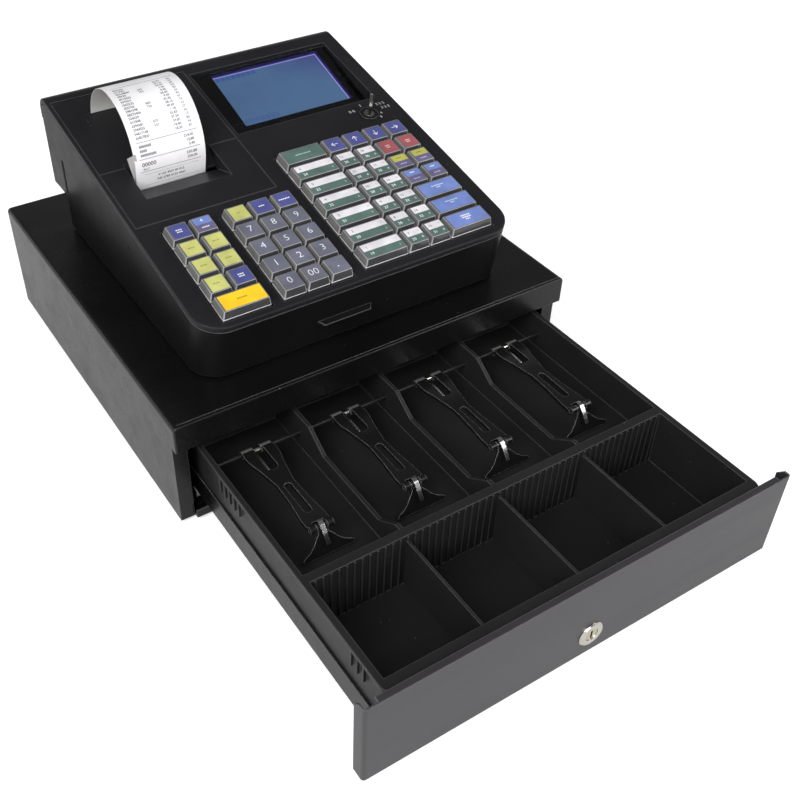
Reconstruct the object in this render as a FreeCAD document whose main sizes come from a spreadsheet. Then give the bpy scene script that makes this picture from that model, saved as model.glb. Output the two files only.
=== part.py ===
"""Cash register: a steel cash drawer with a lift-out till, and the keyed register head on top.

Each sub-part is one labelled object of the document and one STEP file in parts/.
Lengths are millimetres. +X is the cashier's right, +Y the rear and +Z up. Sub-parts are drawn
in the cabinet frame (middle of the width, front face of the top's hem, underside of the cabinet)
or in the panel frame (the same, tilted with the keyboard), and their Placement moves them to the
part's origin, the middle of the footprint on the surface that the feet stand on.
"""
import FreeCAD, Part
import os
import re
import Sketcher

doc = FreeCAD.newDocument("cash_register")
sheet = doc.addObject("Spreadsheet::Sheet", "Sizes")
words = {}
nodes = []

# ---------------------------------------------------------------- driving sizes

SIZES = [
    ("case_width", 340, "cabinet over its side walls"),
    ("case_depth", 334.3, "cabinet from the hem to the rear wall"),
    ("case_height", 94.8, "cabinet from its underside to its top"),
    ("steel", 1.2, "thickness of the steel sheet"),
    ("hem_height", 22.8, "front hem of the cabinet top"),
    ("hem_setback", 7.5, "side walls' front edge behind the hem"),
    ("front_return", 11, "in-turned flange on the side walls' front edge"),
    ("bend", 3.5, "outer radius of the cabinet's bends"),
    ("rivet_radius", 2.2, "pop rivets and pan head screws"),
    ("foot_height", 3, "rubber feet under the cabinet"),
    ("foot_radius", 11, "rubber feet under the cabinet"),
    ("foot_inset", 24, "middle of a foot from the cabinet's sides"),
    ("base_front", 4, "cabinet floor's front edge behind the hem"),
    ("base_lip", 7, "upturned front edge of the cabinet's floor"),
    ("screw_inset", 14, "rear wall's screws from the cabinet's sides"),
    ("screw_level", 12, "rear wall's screws from the cabinet's top and underside"),
    ("drawer_travel", 231, "drawer from closed to open"),
    ("closed_proud", 3.8, "closed drawer front ahead of the hem"),
    ("fascia_height", 71.5, "drawer front"),
    ("fascia_return", 10.3, "side flanges of the drawer front"),
    ("fascia_top_return", 5, "top flange of the drawer front"),
    ("fascia_corner", 10, "clear ends of the top flange"),
    ("side_space", 19.5, "drawer pan from the cabinet's sides"),
    ("pan_level", 10, "underside of the drawer pan"),
    ("pan_wall", 20, "height of the pan's walls"),
    ("pan_margin", 23, "drawer pan behind the till"),
    ("roller_radius", 6, "rear roller"),
    ("roller_width", 4.5, "rear roller"),
    ("rear_axle", 2, "radius of the rear rollers' axles"),
    ("roller_inset", 10, "rear roller's axle from the pan's rear"),
    ("bore_gap", 0.05, "radial clearance of every turning fit"),
    ("seat_gap", 0.3, "clearance round pieces that slide or lie loose"),
    ("rail_lead", 12, "side rails ahead of the open drawer's rear rollers"),
    ("rail_space", 34.3, "side rails from the cabinet's rear"),
    ("rail_base", 12, "width of the side rails' foot"),
    ("front_roller_radius", 4.2, "front roller under the pan"),
    ("front_roller_width", 6, "front roller under the pan"),
    ("front_axle", 1.5, "radius of the front rollers' axles"),
    ("front_roller_y", 24, "front roller behind the hem"),
    ("lock_offset", 2, "lock beside the middle of the drawer front"),
    ("lock_level", 19, "lock above the cabinet's underside"),
    ("lock_radius", 7.5, "lock barrel"),
    ("lock_flange_radius", 9.8, "lock's chrome ring"),
    ("lock_proud", 1.4, "lock's ring ahead of the drawer front"),
    ("lock_depth", 9.8, "lock barrel behind the drawer front's face"),
    ("plug_radius", 5, "turning plug of the lock"),
    ("cam_length", 14.5, "lock's cam from the plug's middle"),
    ("cam_width", 7, "lock's cam"),
    ("key_slot", 1.6, "width of a keyway"),
    ("till_space", 1.7, "till inside the drawer pan"),
    ("rim_space", 18.5, "till's rim from the cabinet's sides"),
    ("till_inset", 6.1, "till's rim behind the drawer front's face"),
    ("till_depth", 265.7, "till over its rim"),
    ("rim_top", 65, "top of the till's rim"),
    ("rim_depth", 3, "thickness of the till's rim"),
    ("till_wall", 2, "moulded walls of the till"),
    ("till_corner", 7, "corner radius of the rim"),
    ("coin_inset", 9.7, "coin trough behind the rim's front"),
    ("coin_depth", 81, "coin trough"),
    ("coin_floor", 19, "floor of the coin trough"),
    ("cross_wall", 7, "wall between the coin trough and the bill bays"),
    ("bill_floor", 37, "floor of the bill bays"),
    ("bay_wall", 3, "wall between two bill bays"),
    ("bay_edge", 1.1, "wall beside the outer bill bays"),
    ("bay_count", 4, "bill bays"),
    ("scoop_depth", 13, "hollow in the bill bays' walls"),
    ("coin_divider_top", 60.5, "top of the coin dividers"),
    ("side_rib_pitch", 6.7, "short ribs outside the till's side walls"),
    ("rib_front", -205, "first short rib of the front group behind the hem"),
    ("rib_rear", -52, "first short rib of the rear group behind the hem"),
    ("rib_height", 18, "lower end of the short ribs under the rim's top"),
    ("clip_inset", 127, "clip rod behind the front of the bill bays"),
    ("hinge_z", 51, "clip rod above the cabinet's underside"),
    ("hinge_radius", 1.3, "clip rod"),
    ("clip_reach", 89, "clip rod to the foot's pivot"),
    ("clip_rise", 3, "foot's pivot above the clip rod"),
    ("clip_width", 23.6, "clip over its two lugs"),
    ("clip_waist", 13, "clip at its waist"),
    ("clip_nose", 18, "clip at its front end"),
    ("clip_thick", 3.4, "clip's arm"),
    ("clip_window", 4.2, "half the width of the window behind the lugs"),
    ("clip_slot", 2.8, "half the width of the slot in the arm"),
    ("lug_radius", 2.6, "clip's lugs round the rod"),
    ("lug_gap", 5.6, "gap between the clip's lugs"),
    ("knuckle_radius", 2.9, "clip's knuckles round the foot's pin"),
    ("knuckle_gap", 8.4, "gap between the clip's knuckles"),
    ("foot_pin", 1.3, "radius of the clip foot's pin"),
    ("foot_drop", 56, "clip foot's slope in degrees"),
    ("foot_length", 19.3, "clip foot from its pin to its edge"),
    ("foot_flare", 40, "clip foot's front edge"),
    ("head_width", 264, "register head"),
    ("head_shift", -1, "register head beside the cabinet's middle"),
    ("head_front", 19.5, "head's front face along the panel"),
    ("head_rear", 305, "head's rear face behind the hem"),
    ("head_gap", 2.4, "head above the cabinet"),
    ("head_step_y", 275, "head's lower rear face behind the hem"),
    ("head_step_z", 126, "underside of the head's rear overhang"),
    ("head_wall", 3, "head's moulded walls"),
    ("head_corner", 22, "head's front corners"),
    ("head_top_round", 12, "rounding at the head's rear top"),
    ("inlet_middle", 57, "power inlet beside the head's middle"),
    ("inlet_width", 26, "power inlet's cut-out"),
    ("inlet_low", 6, "power inlet's cut-out above the head's floor"),
    ("inlet_high", 22, "power inlet's cut-out above the head's floor"),
    ("customer_width", 90, "recess of the customer's window"),
    ("customer_low", 20, "recess of the customer's window above the overhang"),
    ("customer_high", 44, "recess of the customer's window above the overhang"),
    ("customer_sink", 1.2, "recess of the customer's window"),
    ("board_left", -20, "main board"),
    ("board_right", 112, "main board"),
    ("board_front", 70, "main board behind the hem"),
    ("board_rear", 245, "main board behind the hem"),
    ("board_thick", 1.6, "main board"),
    ("pillar_radius", 3, "pillars under the board and the cover"),
    ("pillar_height", 6, "pillars under the board"),
    ("panel_level", 141.5, "panel's height in the plane of the hem"),
    ("panel_slope", 11.8, "panel's slope in degrees"),
    ("cover_thick", 4, "thickness of the head's cover"),
    ("cover_drop", 22, "cover's rear skirt"),
    ("seam", 0.9, "groove between the cover and the base"),
    ("key_pitch", 19.05, "key to key"),
    ("key_foot", 18.1, "key cap at its foot"),
    ("key_crown", 15.2, "key cap at its top"),
    ("key_rise", 6.1, "key cap above the panel"),
    ("key_skirt", 1.4, "key cap below the panel"),
    ("key_travel", 3, "key's stroke"),
    ("stem_width", 7, "key's stem"),
    ("stem_length", 9, "key's stem under the cap"),
    ("plate_space", 4.6, "keyboard plate under a pressed key's skirt"),
    ("plate_thick", 2, "keyboard plate"),
    ("row_0", 34.9, "lowest row of the number keys along the panel"),
    ("left_column", -105.3, "first column of the left block"),
    ("digit_column", -58.3, "first column of the number keys"),
    ("block_column", 19.3, "wide column of the right block"),
    ("block_row", 37.3, "lowest row of the right block"),
    ("window_left", -11, "left side of the display well"),
    ("window_right", 118, "right side of the display well"),
    ("window_front", 200.5, "front of the display well along the panel"),
    ("window_rear", 286, "rear of the display well along the panel"),
    ("window_tilt", 5.7, "display's slope over the panel's in degrees"),
    ("window_sink", 10.5, "display's front edge under the panel"),
    ("window_thick", 1.5, "display window"),
    ("lcd_width", 104, "display panel"),
    ("lcd_depth", 62, "display panel"),
    ("lcd_thick", 5, "display panel"),
    ("lcd_shift", 2, "display panel beside the window's middle"),
    ("printer_left", -129, "left side of the printer's opening"),
    ("printer_right", -14, "right side of the printer's opening"),
    ("printer_front", 132.5, "front of the printer's opening along the panel"),
    ("printer_rear", 292, "rear of the printer's opening along the panel"),
    ("lid_front", 197, "front of the roll lid along the panel"),
    ("slot_left", -108, "left side of the paper pocket"),
    ("slot_right", -38, "right side of the paper pocket"),
    ("slot_front", 158.5, "front of the paper pocket along the panel"),
    ("paper_line", 184, "paper's way out along the panel"),
    ("pocket_sink", 11, "depth of the paper pocket"),
    ("lid_pin", 1.3, "radius of the roll lid's pins"),
    ("paper_width", 57.5, "paper roll and receipt"),
    ("paper_middle", -76.3, "middle of the paper"),
    ("paper_thick", 0.3, "receipt"),
    ("loop_radius", 42, "receipt's loop"),
    ("roll_radius", 27, "paper roll"),
    ("roll_y", 238, "paper roll behind the hem"),
    ("roll_z", 142, "paper roll above the cabinet's underside"),
    ("core_radius", 6, "paper roll's core"),
    ("platen_radius", 5, "platen roller"),
    ("platen_axle", 2.5, "radius of the platen roller's axle"),
    ("platen_y", 190, "platen roller behind the hem"),
    ("platen_z", 152, "platen roller above the cabinet's underside"),
    ("mode_column", 100.5, "mode lock beside the head's middle"),
    ("mode_row", 182, "mode lock along the panel"),
    ("mode_radius", 6.5, "mode lock's ring"),
    ("mode_plug", 4.2, "mode lock's plug"),
    ("key_turn", 56, "mode key's bow from the head's width in degrees"),
    ("bow_thick", 2.2, "mode key"),
    ("bow_height", 17, "mode key above the panel"),
    ("bow_width", 15, "mode key's bow"),
    ("hook_pin", 1.5, "radius of the latch hook's pin"),
    ("coil_radius", 9, "latch's coil"),
    ("coil_height", 22, "latch's coil"),
    ("coil_space", 14, "latch's coil behind the hook's pivot"),
    ("cheek_gap", 20, "between the latch frame's cheeks"),
    ("cheek_thick", 1.5, "latch frame's cheeks"),
    ("hook_space", 28.3, "latch hook's pivot from the cabinet's rear"),
    ("hook_z", 39, "latch hook's pivot above the cabinet's underside"),
]

for row, (alias, number, note) in enumerate(SIZES, start=1):
    sheet.set(f"A{row}", note)
    sheet.set(f"B{row}", str(number))
    sheet.setAlias(f"B{row}", alias)
    words[alias] = "Sizes." + alias
doc.recompute()


def spell(expression):
    """Writes an expression with the sheet's name in front of each size."""
    return re.sub(r"[A-Za-z_]\w*", lambda m: words.get(m.group(), m.group()), str(expression))


def derive(alias, expression):
    """Gives a size that follows from others a word of its own."""
    words[alias] = "(" + spell(expression) + ")"


def value(expression):
    """An expression's number, for starting positions and for choosing edges."""
    result = sheet.evalExpression(spell(expression))
    return float(getattr(result, "Value", result))


def bind(thing, expressions):
    """Ties properties to the sheet."""
    for path, expression in expressions.items():
        thing.setExpression(path, spell(expression))


derive("shift_y", "(drawer_travel + closed_proud - case_depth) / 2")
derive("half_case", "case_width / 2")
derive("fascia_y", "-(drawer_travel + closed_proud)")
derive("pan_front", "fascia_y + steel")
derive("till_front", "drawer_travel + closed_proud - till_inset")
derive("till_rear", "till_depth - till_front")
derive("pan_rear", "till_rear + pan_margin")
derive("half_pan", "half_case - side_space")
derive("half_till", "half_pan - till_space")
derive("till_width", "2 * half_till")
derive("half_rim", "half_case - rim_space")
derive("coin_front", "till_front - coin_inset")
derive("coin_back", "coin_front - coin_depth")
derive("bill_front", "coin_back - cross_wall")
derive("bill_pitch", "(till_width + bay_wall - 2 * bay_edge) / bay_count")
derive("bill_width", "bill_pitch - bay_wall")
derive("coin_pitch", "till_width / bay_count")
derive("hinge_y", "clip_inset - bill_front")
derive("rail_start", "pan_rear - roller_inset - roller_radius - rail_lead")
derive("rail_end", "case_depth - rail_space")
derive("hook_y", "case_depth - hook_space")
derive("half_head", "head_width / 2")
derive("head_low", "case_height + head_gap")
derive("seam_level", "-(cover_thick + seam)")

# ---------------------------------------------------------------- drawing helpers

SIDE = {"XY": 1, "XZ": -1, "YZ": 1}


def new_body(label):
    """A body of its own for one sub-part."""
    body = doc.addObject("PartDesign::Body", label)
    body.Label = label
    return body


def new_sketch(body, plane="XY", level=0):
    """A sketch on one of the body's own origin planes, moved along the axis to a level."""
    sketch = body.newObject("Sketcher::SketchObject", "Sketch")
    wanted = plane + "_Plane"
    support = next(item for item in body.Origin.OriginFeatures if item.Role == wanted)
    sketch.AttachmentSupport = [(support, "")]
    sketch.MapMode = "FlatFace"
    bind(sketch, {"AttachmentOffset.Base.z": f"{SIDE[plane]} * ({level})"})
    return sketch


def hold(sketch, kind, geometry, point, expression):
    """Ties one coordinate of a sketch point to the sheet."""
    rule = Sketcher.Constraint(kind, -1, 1, geometry, point, value(expression))
    index = sketch.addConstraint(rule)
    sketch.setExpression(f"Constraints[{index}]", spell(expression))


def outline(sketch, corners):
    """Closes straight runs through corners, each tied to the origin by its two sizes."""
    first = sketch.GeometryCount
    count = len(corners)
    points = [FreeCAD.Vector(value(across), value(up), 0) for across, up in corners]
    for n in range(count):
        sketch.addGeometry(Part.LineSegment(points[n], points[(n + 1) % count]), False)
    for n in range(count):
        follower = first + (n + 1) % count
        sketch.addConstraint(Sketcher.Constraint("Coincident", first + n, 2, follower, 1))
    for n, (across, up) in enumerate(corners):
        hold(sketch, "DistanceX", first + n, 1, across)
        hold(sketch, "DistanceY", first + n, 1, up)
    return sketch


def rectangle(sketch, left, right, low, high):
    """A rectangle between four sizes."""
    return outline(sketch, [(left, low), (right, low), (right, high), (left, high)])


def ring(sketch, across, up, radius):
    """A circle round a tied centre."""
    centre = FreeCAD.Vector(value(across), value(up), 0)
    index = sketch.addGeometry(Part.Circle(centre, FreeCAD.Vector(0, 0, 1), value(radius)), False)
    hold(sketch, "DistanceX", index, 3, across)
    hold(sketch, "DistanceY", index, 3, up)
    rule = sketch.addConstraint(Sketcher.Constraint("Radius", index, value(radius)))
    sketch.setExpression(f"Constraints[{rule}]", spell(radius))
    return sketch


def pad(body, sketch, length, both=False, back=False):
    """Adds a sketch's extrusion."""
    feature = body.newObject("PartDesign::Pad", "Pad")
    feature.Profile = sketch
    feature.SideType = "Symmetric" if both else "One side"
    feature.Reversed = back
    bind(feature, {"Length": length})
    return feature


def pocket(body, sketch, length, both=False, back=False):
    """Cuts a sketch's extrusion, which runs against the plane's normal unless back is set."""
    feature = body.newObject("PartDesign::Pocket", "Pocket")
    feature.Profile = sketch
    feature.SideType = "Symmetric" if both else "One side"
    feature.Reversed = back
    bind(feature, {"Length": length})
    return feature


def add_block(body, left, right, front, rear, low, high):
    """Adds a block between six sizes."""
    sketch = rectangle(new_sketch(body, "XY", low), left, right, front, rear)
    return pad(body, sketch, f"({high}) - ({low})")


def cut_block(body, left, right, front, rear, low, high):
    """Cuts a block between six sizes."""
    sketch = rectangle(new_sketch(body, "XY", high), left, right, front, rear)
    return pocket(body, sketch, f"({high}) - ({low})")


def repeat(body, feature, direction, pitch, count):
    """Repeats the last feature along an axis of the body."""
    axis = next(item for item in body.Origin.OriginFeatures if item.Role == direction + "_Axis")
    pattern = body.newObject("PartDesign::LinearPattern", "Pattern")
    pattern.Originals = [feature]
    pattern.Direction = (axis, [""])
    pattern.Mode = "Spacing"
    bind(pattern, {"Offset": pitch, "Occurrences": count})
    body.Tip = pattern
    return pattern


def soften(body, radius, chosen, kind="Fillet"):
    """Rounds or chamfers the tip's edges whose middle and direction a test picks."""
    doc.recompute()
    base = body.Tip
    names = []
    for index, edge in enumerate(base.Shape.Edges, start=1):
        middle = edge.valueAt((edge.FirstParameter + edge.LastParameter) / 2)
        run = edge.Vertexes[-1].Point - edge.Vertexes[0].Point
        if chosen(middle, run):
            names.append(f"Edge{index}")
    feature = body.newObject("PartDesign::" + kind, kind)
    feature.Base = (base, names)
    bind(feature, {"Radius" if kind == "Fillet" else "Size": radius})
    return feature


def near(first, second, slack=0.02):
    """Whether two lengths agree."""
    return abs(first - second) < slack


def along(run, axis):
    """Whether an edge runs along X, Y or Z."""
    rest = [abs(part) for name, part in zip("XYZ", run) if name != axis]
    return max(rest) < 0.01 < run.Length


def box(left, right, front, rear, low, high):
    """A block between six sizes, as a primitive."""
    piece = doc.addObject("Part::Box", "Block")
    bind(piece, {
        "Length": f"({right}) - ({left})",
        "Width": f"({rear}) - ({front})",
        "Height": f"({high}) - ({low})",
        "Placement.Base.x": left,
        "Placement.Base.y": front,
        "Placement.Base.z": low,
    })
    return piece


TURN = {"X": ((0, 1, 0), 90), "Y": ((1, 0, 0), -90), "Z": ((0, 0, 1), 0)}


def rod(axis, radius, length, start):
    """A cylinder that runs along an axis from its starting point."""
    piece = doc.addObject("Part::Cylinder", "Rod")
    turn, angle = TURN[axis]
    rotation = FreeCAD.Rotation(FreeCAD.Vector(*turn), angle)
    piece.Placement = FreeCAD.Placement(FreeCAD.Vector(), rotation)
    bind(piece, {
        "Radius": radius,
        "Height": length,
        "Placement.Base.x": start[0],
        "Placement.Base.y": start[1],
        "Placement.Base.z": start[2],
    })
    return piece


def frustum(across, deep, low, high, foot_x, foot_y, top_x, top_y):
    """A block with sloping sides round a middle line."""
    piece = doc.addObject("Part::Wedge", "Frustum")
    bind(piece, {
        "Xmin": f"-({foot_x}) / 2", "Xmax": f"({foot_x}) / 2",
        "Zmin": f"-({foot_y}) / 2", "Zmax": f"({foot_y}) / 2",
        "X2min": f"-({top_x}) / 2", "X2max": f"({top_x}) / 2",
        "Z2min": f"-({top_y}) / 2", "Z2max": f"({top_y}) / 2",
        "Ymin": "0", "Ymax": f"({high}) - ({low})",
    })
    upright = FreeCAD.Rotation(FreeCAD.Vector(1, 0, 0), 90)
    piece.Placement = FreeCAD.Placement(FreeCAD.Vector(), upright)
    bind(piece, {"Placement.Base.x": across, "Placement.Base.y": deep, "Placement.Base.z": low})
    return piece


def fuse(pieces):
    """One solid from several."""
    result = doc.addObject("Part::MultiFuse", "Joined")
    result.Shapes = pieces
    return result


def cut(base, tool):
    """A solid less another."""
    result = doc.addObject("Part::Cut", "Cut")
    result.Base = base
    result.Tool = tool
    return result


def group(pieces):
    """Separate solids of one sub-part."""
    result = doc.addObject("Part::Compound", "Group")
    result.Links = pieces
    return result


def seat(piece, label, start=("0", "0", "0"), slope="0"):
    """Names a sub-part and moves it from the frame it is drawn in to the part's origin."""
    piece.Label = label
    bind(piece, {
        "Placement.Base.x": start[0],
        "Placement.Base.y": f"({start[1]}) + shift_y",
        "Placement.Base.z": f"({start[2]}) + foot_height",
    })
    if slope != "0":
        tilt = FreeCAD.Rotation(FreeCAD.Vector(1, 0, 0), value(slope))
        piece.Placement = FreeCAD.Placement(FreeCAD.Vector(), tilt)
        bind(piece, {"Placement.Rotation.Angle": slope})
    nodes.append(piece)
    return piece


def seat_on_panel(piece, label):
    """Seats a sub-part drawn in the panel frame."""
    return seat(piece, label, ("head_shift", "0", "panel_level"), "panel_slope")


def panel_y(deep, up):
    """Cabinet frame's Y of a point of the panel frame."""
    return f"(({deep}) * cos(panel_slope) - ({up}) * sin(panel_slope))"


def panel_z(deep, up):
    """Cabinet frame's Z of a point of the panel frame."""
    return f"(panel_level + ({deep}) * sin(panel_slope) + ({up}) * cos(panel_slope))"


def mirrored(piece):
    """The same solid on the other side of the middle."""
    twin = doc.addObject("Part::Mirroring", "Twin")
    twin.Source = piece
    twin.Normal = FreeCAD.Vector(1, 0, 0)
    return twin


def tube(axis, outer, inner, length, start):
    """A bored cylinder."""
    return cut(rod(axis, outer, length, start), rod(axis, inner, length, start))


# ---------------------------------------------------------------- cabinet

derive("hem_low", "case_height - hem_height")
derive("rail_gap", "half_pan + 0.5")
derive("rail_web", "rail_gap + roller_width + seat_gap")
derive("roller_z", "pan_level + pan_wall / 2")
derive("front_roller_z", "pan_level - 0.2 - front_roller_radius")


def make_cabinet_shell():
    """Folded sheet: top, two side walls, front hem and the side walls' returns."""
    body = new_body("cabinet_shell")
    outer = rectangle(new_sketch(body, "XZ"), "-half_case", "half_case", "0", "case_height")
    pad(body, outer, "case_depth", back=True)
    inner = rectangle(new_sketch(body, "XZ"), "steel - half_case", "half_case - steel",
                      "0", "case_height - steel")
    pocket(body, inner, "case_depth")
    setback = rectangle(new_sketch(body, "YZ"), "0", "hem_setback", "0", "hem_low")
    pocket(body, setback, "case_width + 2", both=True)
    add_block(body, "-half_case", "half_case", "0", "2 * steel", "hem_low", "case_height")
    for side in (-1, 1):
        edges = sorted((f"{side} * half_case", f"{side} * (half_case - front_return)"), key=value)
        add_block(body, edges[0], edges[1], "hem_setback", "hem_setback + steel", "0", "hem_low")
    half, top, low = value("half_case"), value("case_height"), value("hem_low")
    soften(body, "bend", lambda m, run: along(run, "Y") and near(abs(m.x), half)
           and near(m.z, top))
    soften(body, "steel", lambda m, run: near(m.y, 0) and run.Length > half
           and (near(m.z, top) or near(m.z, low)))
    seat(body, "cabinet_shell")


def make_cabinet_base():
    """Folded sheet: floor, rear wall and the upturned strip that the drawer's lock hooks."""
    body = new_body("cabinet_base")
    inside = "(half_case - steel)"
    tongue = "(half_case - front_return - seat_gap)"
    floor_front = "hem_setback + steel + seat_gap"
    add_block(body, f"-{inside}", inside, floor_front, "case_depth", "0", "steel")
    add_block(body, f"-{tongue}", tongue, "base_front", floor_front, "0", "steel")
    add_block(body, f"-{tongue}", tongue, "base_front", "base_front + steel", "0", "base_lip")
    add_block(body, f"-{inside}", inside, "case_depth - steel", "case_depth", "0",
              "case_height - steel")
    seat(body, "cabinet_base")


def make_feet_and_screws():
    """Rubber feet under the cabinet and under the head, and the screws in the rear wall."""
    feet = []
    for side in (-1, 1):
        for deep in ("foot_inset + hem_setback", "case_depth - foot_inset"):
            start = (f"{side} * (half_case - foot_inset)", deep, "-foot_height")
            feet.append(rod("Z", "foot_radius", "foot_height", start))
        for deep in ("60", "head_step_y - 30"):
            start = (f"head_shift + {side} * (half_head - 32)", deep, "case_height")
            feet.append(rod("Z", "foot_radius * 0.7", "head_gap", start))
    seat(group(feet), "rubber_feet")
    screws = []
    for side in (-1, 1):
        for up in ("screw_level", "case_height - screw_level"):
            start = (f"{side} * (half_case - screw_inset)", "case_depth", up)
            screws.append(rod("Y", "rivet_radius * 1.6", "1.5", start))
    seat(group(screws), "case_screws")


def make_fixed_rails():
    """Channels for the drawer's rear rollers and the brackets of the front rollers."""
    high = "roller_z + roller_radius + 0.15"
    low = "roller_z - roller_radius - 0.15"
    web = box("rail_web", "rail_web + steel", "rail_start", "rail_end", "steel", f"{high} + steel")
    foot = box("rail_web", "rail_web + rail_base", "rail_start", "rail_end", "steel", "2 * steel")
    upper = box("rail_gap", "rail_web", "rail_start", "rail_end", high, f"{high} + steel")
    lower = box("rail_gap", "rail_web", "rail_start", "rail_end", f"{low} - steel", low)
    rail = fuse([web, foot, upper, lower])
    inner = "half_pan + 0.9"
    front, rear = "front_roller_y - 5", "front_roller_y + 5"
    plate = box(inner, f"{inner} + steel", front, rear, "steel", "pan_level - 0.5")
    tab = box(inner, f"{inner} + 3.5", front, rear, "steel", "2 * steel")
    start = (f"{inner} - front_roller_width - 1", "front_roller_y", "front_roller_z")
    axle = rod("X", "front_axle", "front_roller_width + 1.5", start)
    bracket = fuse([plate, tab, axle])
    seat(group([rail, bracket, mirrored(rail), mirrored(bracket)]), "fixed_rails")


def make_rollers():
    """Nylon rollers: a pair fixed to the cabinet and a pair on the drawer pan."""
    start = ("half_pan + 0.6 - front_roller_width", "front_roller_y", "front_roller_z")
    front = tube("X", "front_roller_radius", "front_axle + bore_gap", "front_roller_width", start)
    seat(group([front, mirrored(front)]), "front_rollers")
    start = ("rail_gap", "pan_rear - roller_inset", "roller_z")
    rear = tube("X", "roller_radius", "rear_axle + bore_gap", "roller_width", start)
    seat(group([rear, mirrored(rear)]), "rear_rollers")


def make_latch():
    """Solenoid frame with its coil, plunger and pin, and the hook that holds the drawer shut."""
    outer = "(cheek_gap / 2 + cheek_thick)"
    plate = box(f"-({outer} + 4.5)", f"{outer} + 4.5", "hook_y - 12", "hook_y + 26", "steel",
                "2 * steel")
    cheeks = []
    for left in (f"-{outer}", "cheek_gap / 2"):
        cheeks.append(box(left, f"{left} + cheek_thick", "hook_y - 8", "hook_y + 25",
                          "2 * steel", "hook_z + 7"))
    foot = ("0", "hook_y + coil_space", "2 * steel")
    coil = rod("Z", "coil_radius", "coil_height", foot)
    plunger = rod("Z", "coil_radius / 3", "coil_height + 6", foot)
    pin = rod("X", "hook_pin", f"2 * {outer}", (f"-{outer}", "hook_y", "hook_z"))
    seat(fuse([plate, *cheeks, coil, plunger, pin]), "solenoid_latch")

    body = new_body("latch_hook")
    arm = outline(new_sketch(body, "YZ"), [("-23", "3"), ("-23", "-6"), ("-20", "-6"),
                                           ("-19", "-2"), ("14", "-2"), ("14", "3")])
    pad(body, arm, "6", both=True)
    pad(body, ring(new_sketch(body, "YZ"), "0", "0", "3 * hook_pin"), "9", both=True)
    pocket(body, ring(new_sketch(body, "YZ"), "0", "0", "hook_pin + bore_gap"), "30", both=True)
    seat(body, "latch_hook", ("0", "hook_y", "hook_z"))


# ---------------------------------------------------------------- drawer

def make_drawer_pan():
    """Folded steel pan with low walls, the rear rollers' axles and the lock's cut-outs."""
    body = new_body("drawer_pan")
    high = "pan_level + pan_wall"
    add_block(body, "-half_pan", "half_pan", "pan_front", "pan_rear", "pan_level", high)
    cut_block(body, "steel - half_pan", "half_pan - steel", "pan_front + steel",
              "pan_rear - steel", "pan_level + steel", high)
    for side in (-1, 1):
        axle = ring(new_sketch(body, "YZ", f"{side} * half_pan"), "pan_rear - roller_inset",
                    "roller_z", "rear_axle")
        pad(body, axle, "roller_width + 0.7", back=side < 0)
    hole = ring(new_sketch(body, "XZ", "pan_front"), "lock_offset", "lock_level",
                "lock_radius + 0.2")
    pocket(body, hole, "steel")
    cam_y = "fascia_y + lock_depth"
    cut_block(body, "lock_offset - cam_width / 2 - 1", "lock_offset + cam_length + 1",
              f"{cam_y} - 0.8", f"{cam_y} + 3", "pan_level", "pan_level + steel")
    seat(body, "drawer_pan")


def make_drawer_front():
    """Folded steel front with side, top and bottom flanges."""
    body = new_body("drawer_front")
    top_rear = "fascia_y + fascia_top_return"
    inset = "(half_case - fascia_corner)"
    add_block(body, "-half_case", "half_case", "fascia_y", "fascia_y + steel", "0",
              "fascia_height")
    for side in (-1, 1):
        edges = sorted((f"{side} * half_case", f"{side} * (half_case - steel)"), key=value)
        add_block(body, edges[0], edges[1], "fascia_y", "fascia_y + fascia_return", "0",
                  "fascia_height")
    for low in ("0", "fascia_height - steel"):
        add_block(body, f"-{inset}", inset, "fascia_y", top_rear, low, f"{low} + steel")
    half, front = value("half_case"), value("fascia_y")
    rear, top = value("fascia_y + fascia_return"), value("fascia_height")
    soften(body, "fascia_return / 2", lambda m, run: along(run, "X") and near(m.y, rear)
           and near(m.z, top), "Chamfer")
    soften(body, "2 * steel", lambda m, run: along(run, "Z") and near(m.y, front)
           and near(abs(m.x), half))
    hole = ring(new_sketch(body, "XZ", "fascia_y"), "lock_offset", "lock_level",
                "lock_radius + 0.1")
    pocket(body, hole, "steel")
    seat(body, "drawer_front")


def make_drawer_lock():
    """Barrel pressed in the drawer front, and the turning plug with its keyway and cam."""
    body = new_body("lock_barrel")
    pad(body, ring(new_sketch(body, "XZ"), "0", "0", "lock_radius"), "lock_depth", back=True)
    pad(body, ring(new_sketch(body, "XZ"), "0", "0", "lock_flange_radius"), "lock_proud")
    bore = ring(new_sketch(body, "XZ", "-lock_proud - 1"), "0", "0", "plug_radius + bore_gap")
    pocket(body, bore, "lock_proud + lock_depth + 2")
    proud = value("-lock_proud")
    soften(body, "0.8", lambda m, run: near(m.y, proud)
           and m.Length > value("lock_flange_radius"), "Chamfer")
    seat(body, "lock_barrel", ("lock_offset", "fascia_y", "lock_level"))

    body = new_body("lock_plug")
    front = "-lock_proud + 0.4"
    plug = ring(new_sketch(body, "XZ", front), "0", "0", "plug_radius")
    pad(body, plug, f"lock_depth + 0.3 - ({front})", back=True)
    cam = rectangle(new_sketch(body, "XZ", "lock_depth + 0.3"), "-cam_width / 2", "cam_length",
                    "-cam_width / 2", "cam_width / 2")
    pad(body, cam, "1.5", back=True)
    keyway = rectangle(new_sketch(body, "XZ", front), "-key_slot / 2", "key_slot / 2",
                       "-plug_radius * 0.72", "plug_radius * 0.72")
    pocket(body, keyway, "6")
    seat(body, "lock_plug", ("lock_offset", "fascia_y", "lock_level"))


# ---------------------------------------------------------------- till

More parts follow.
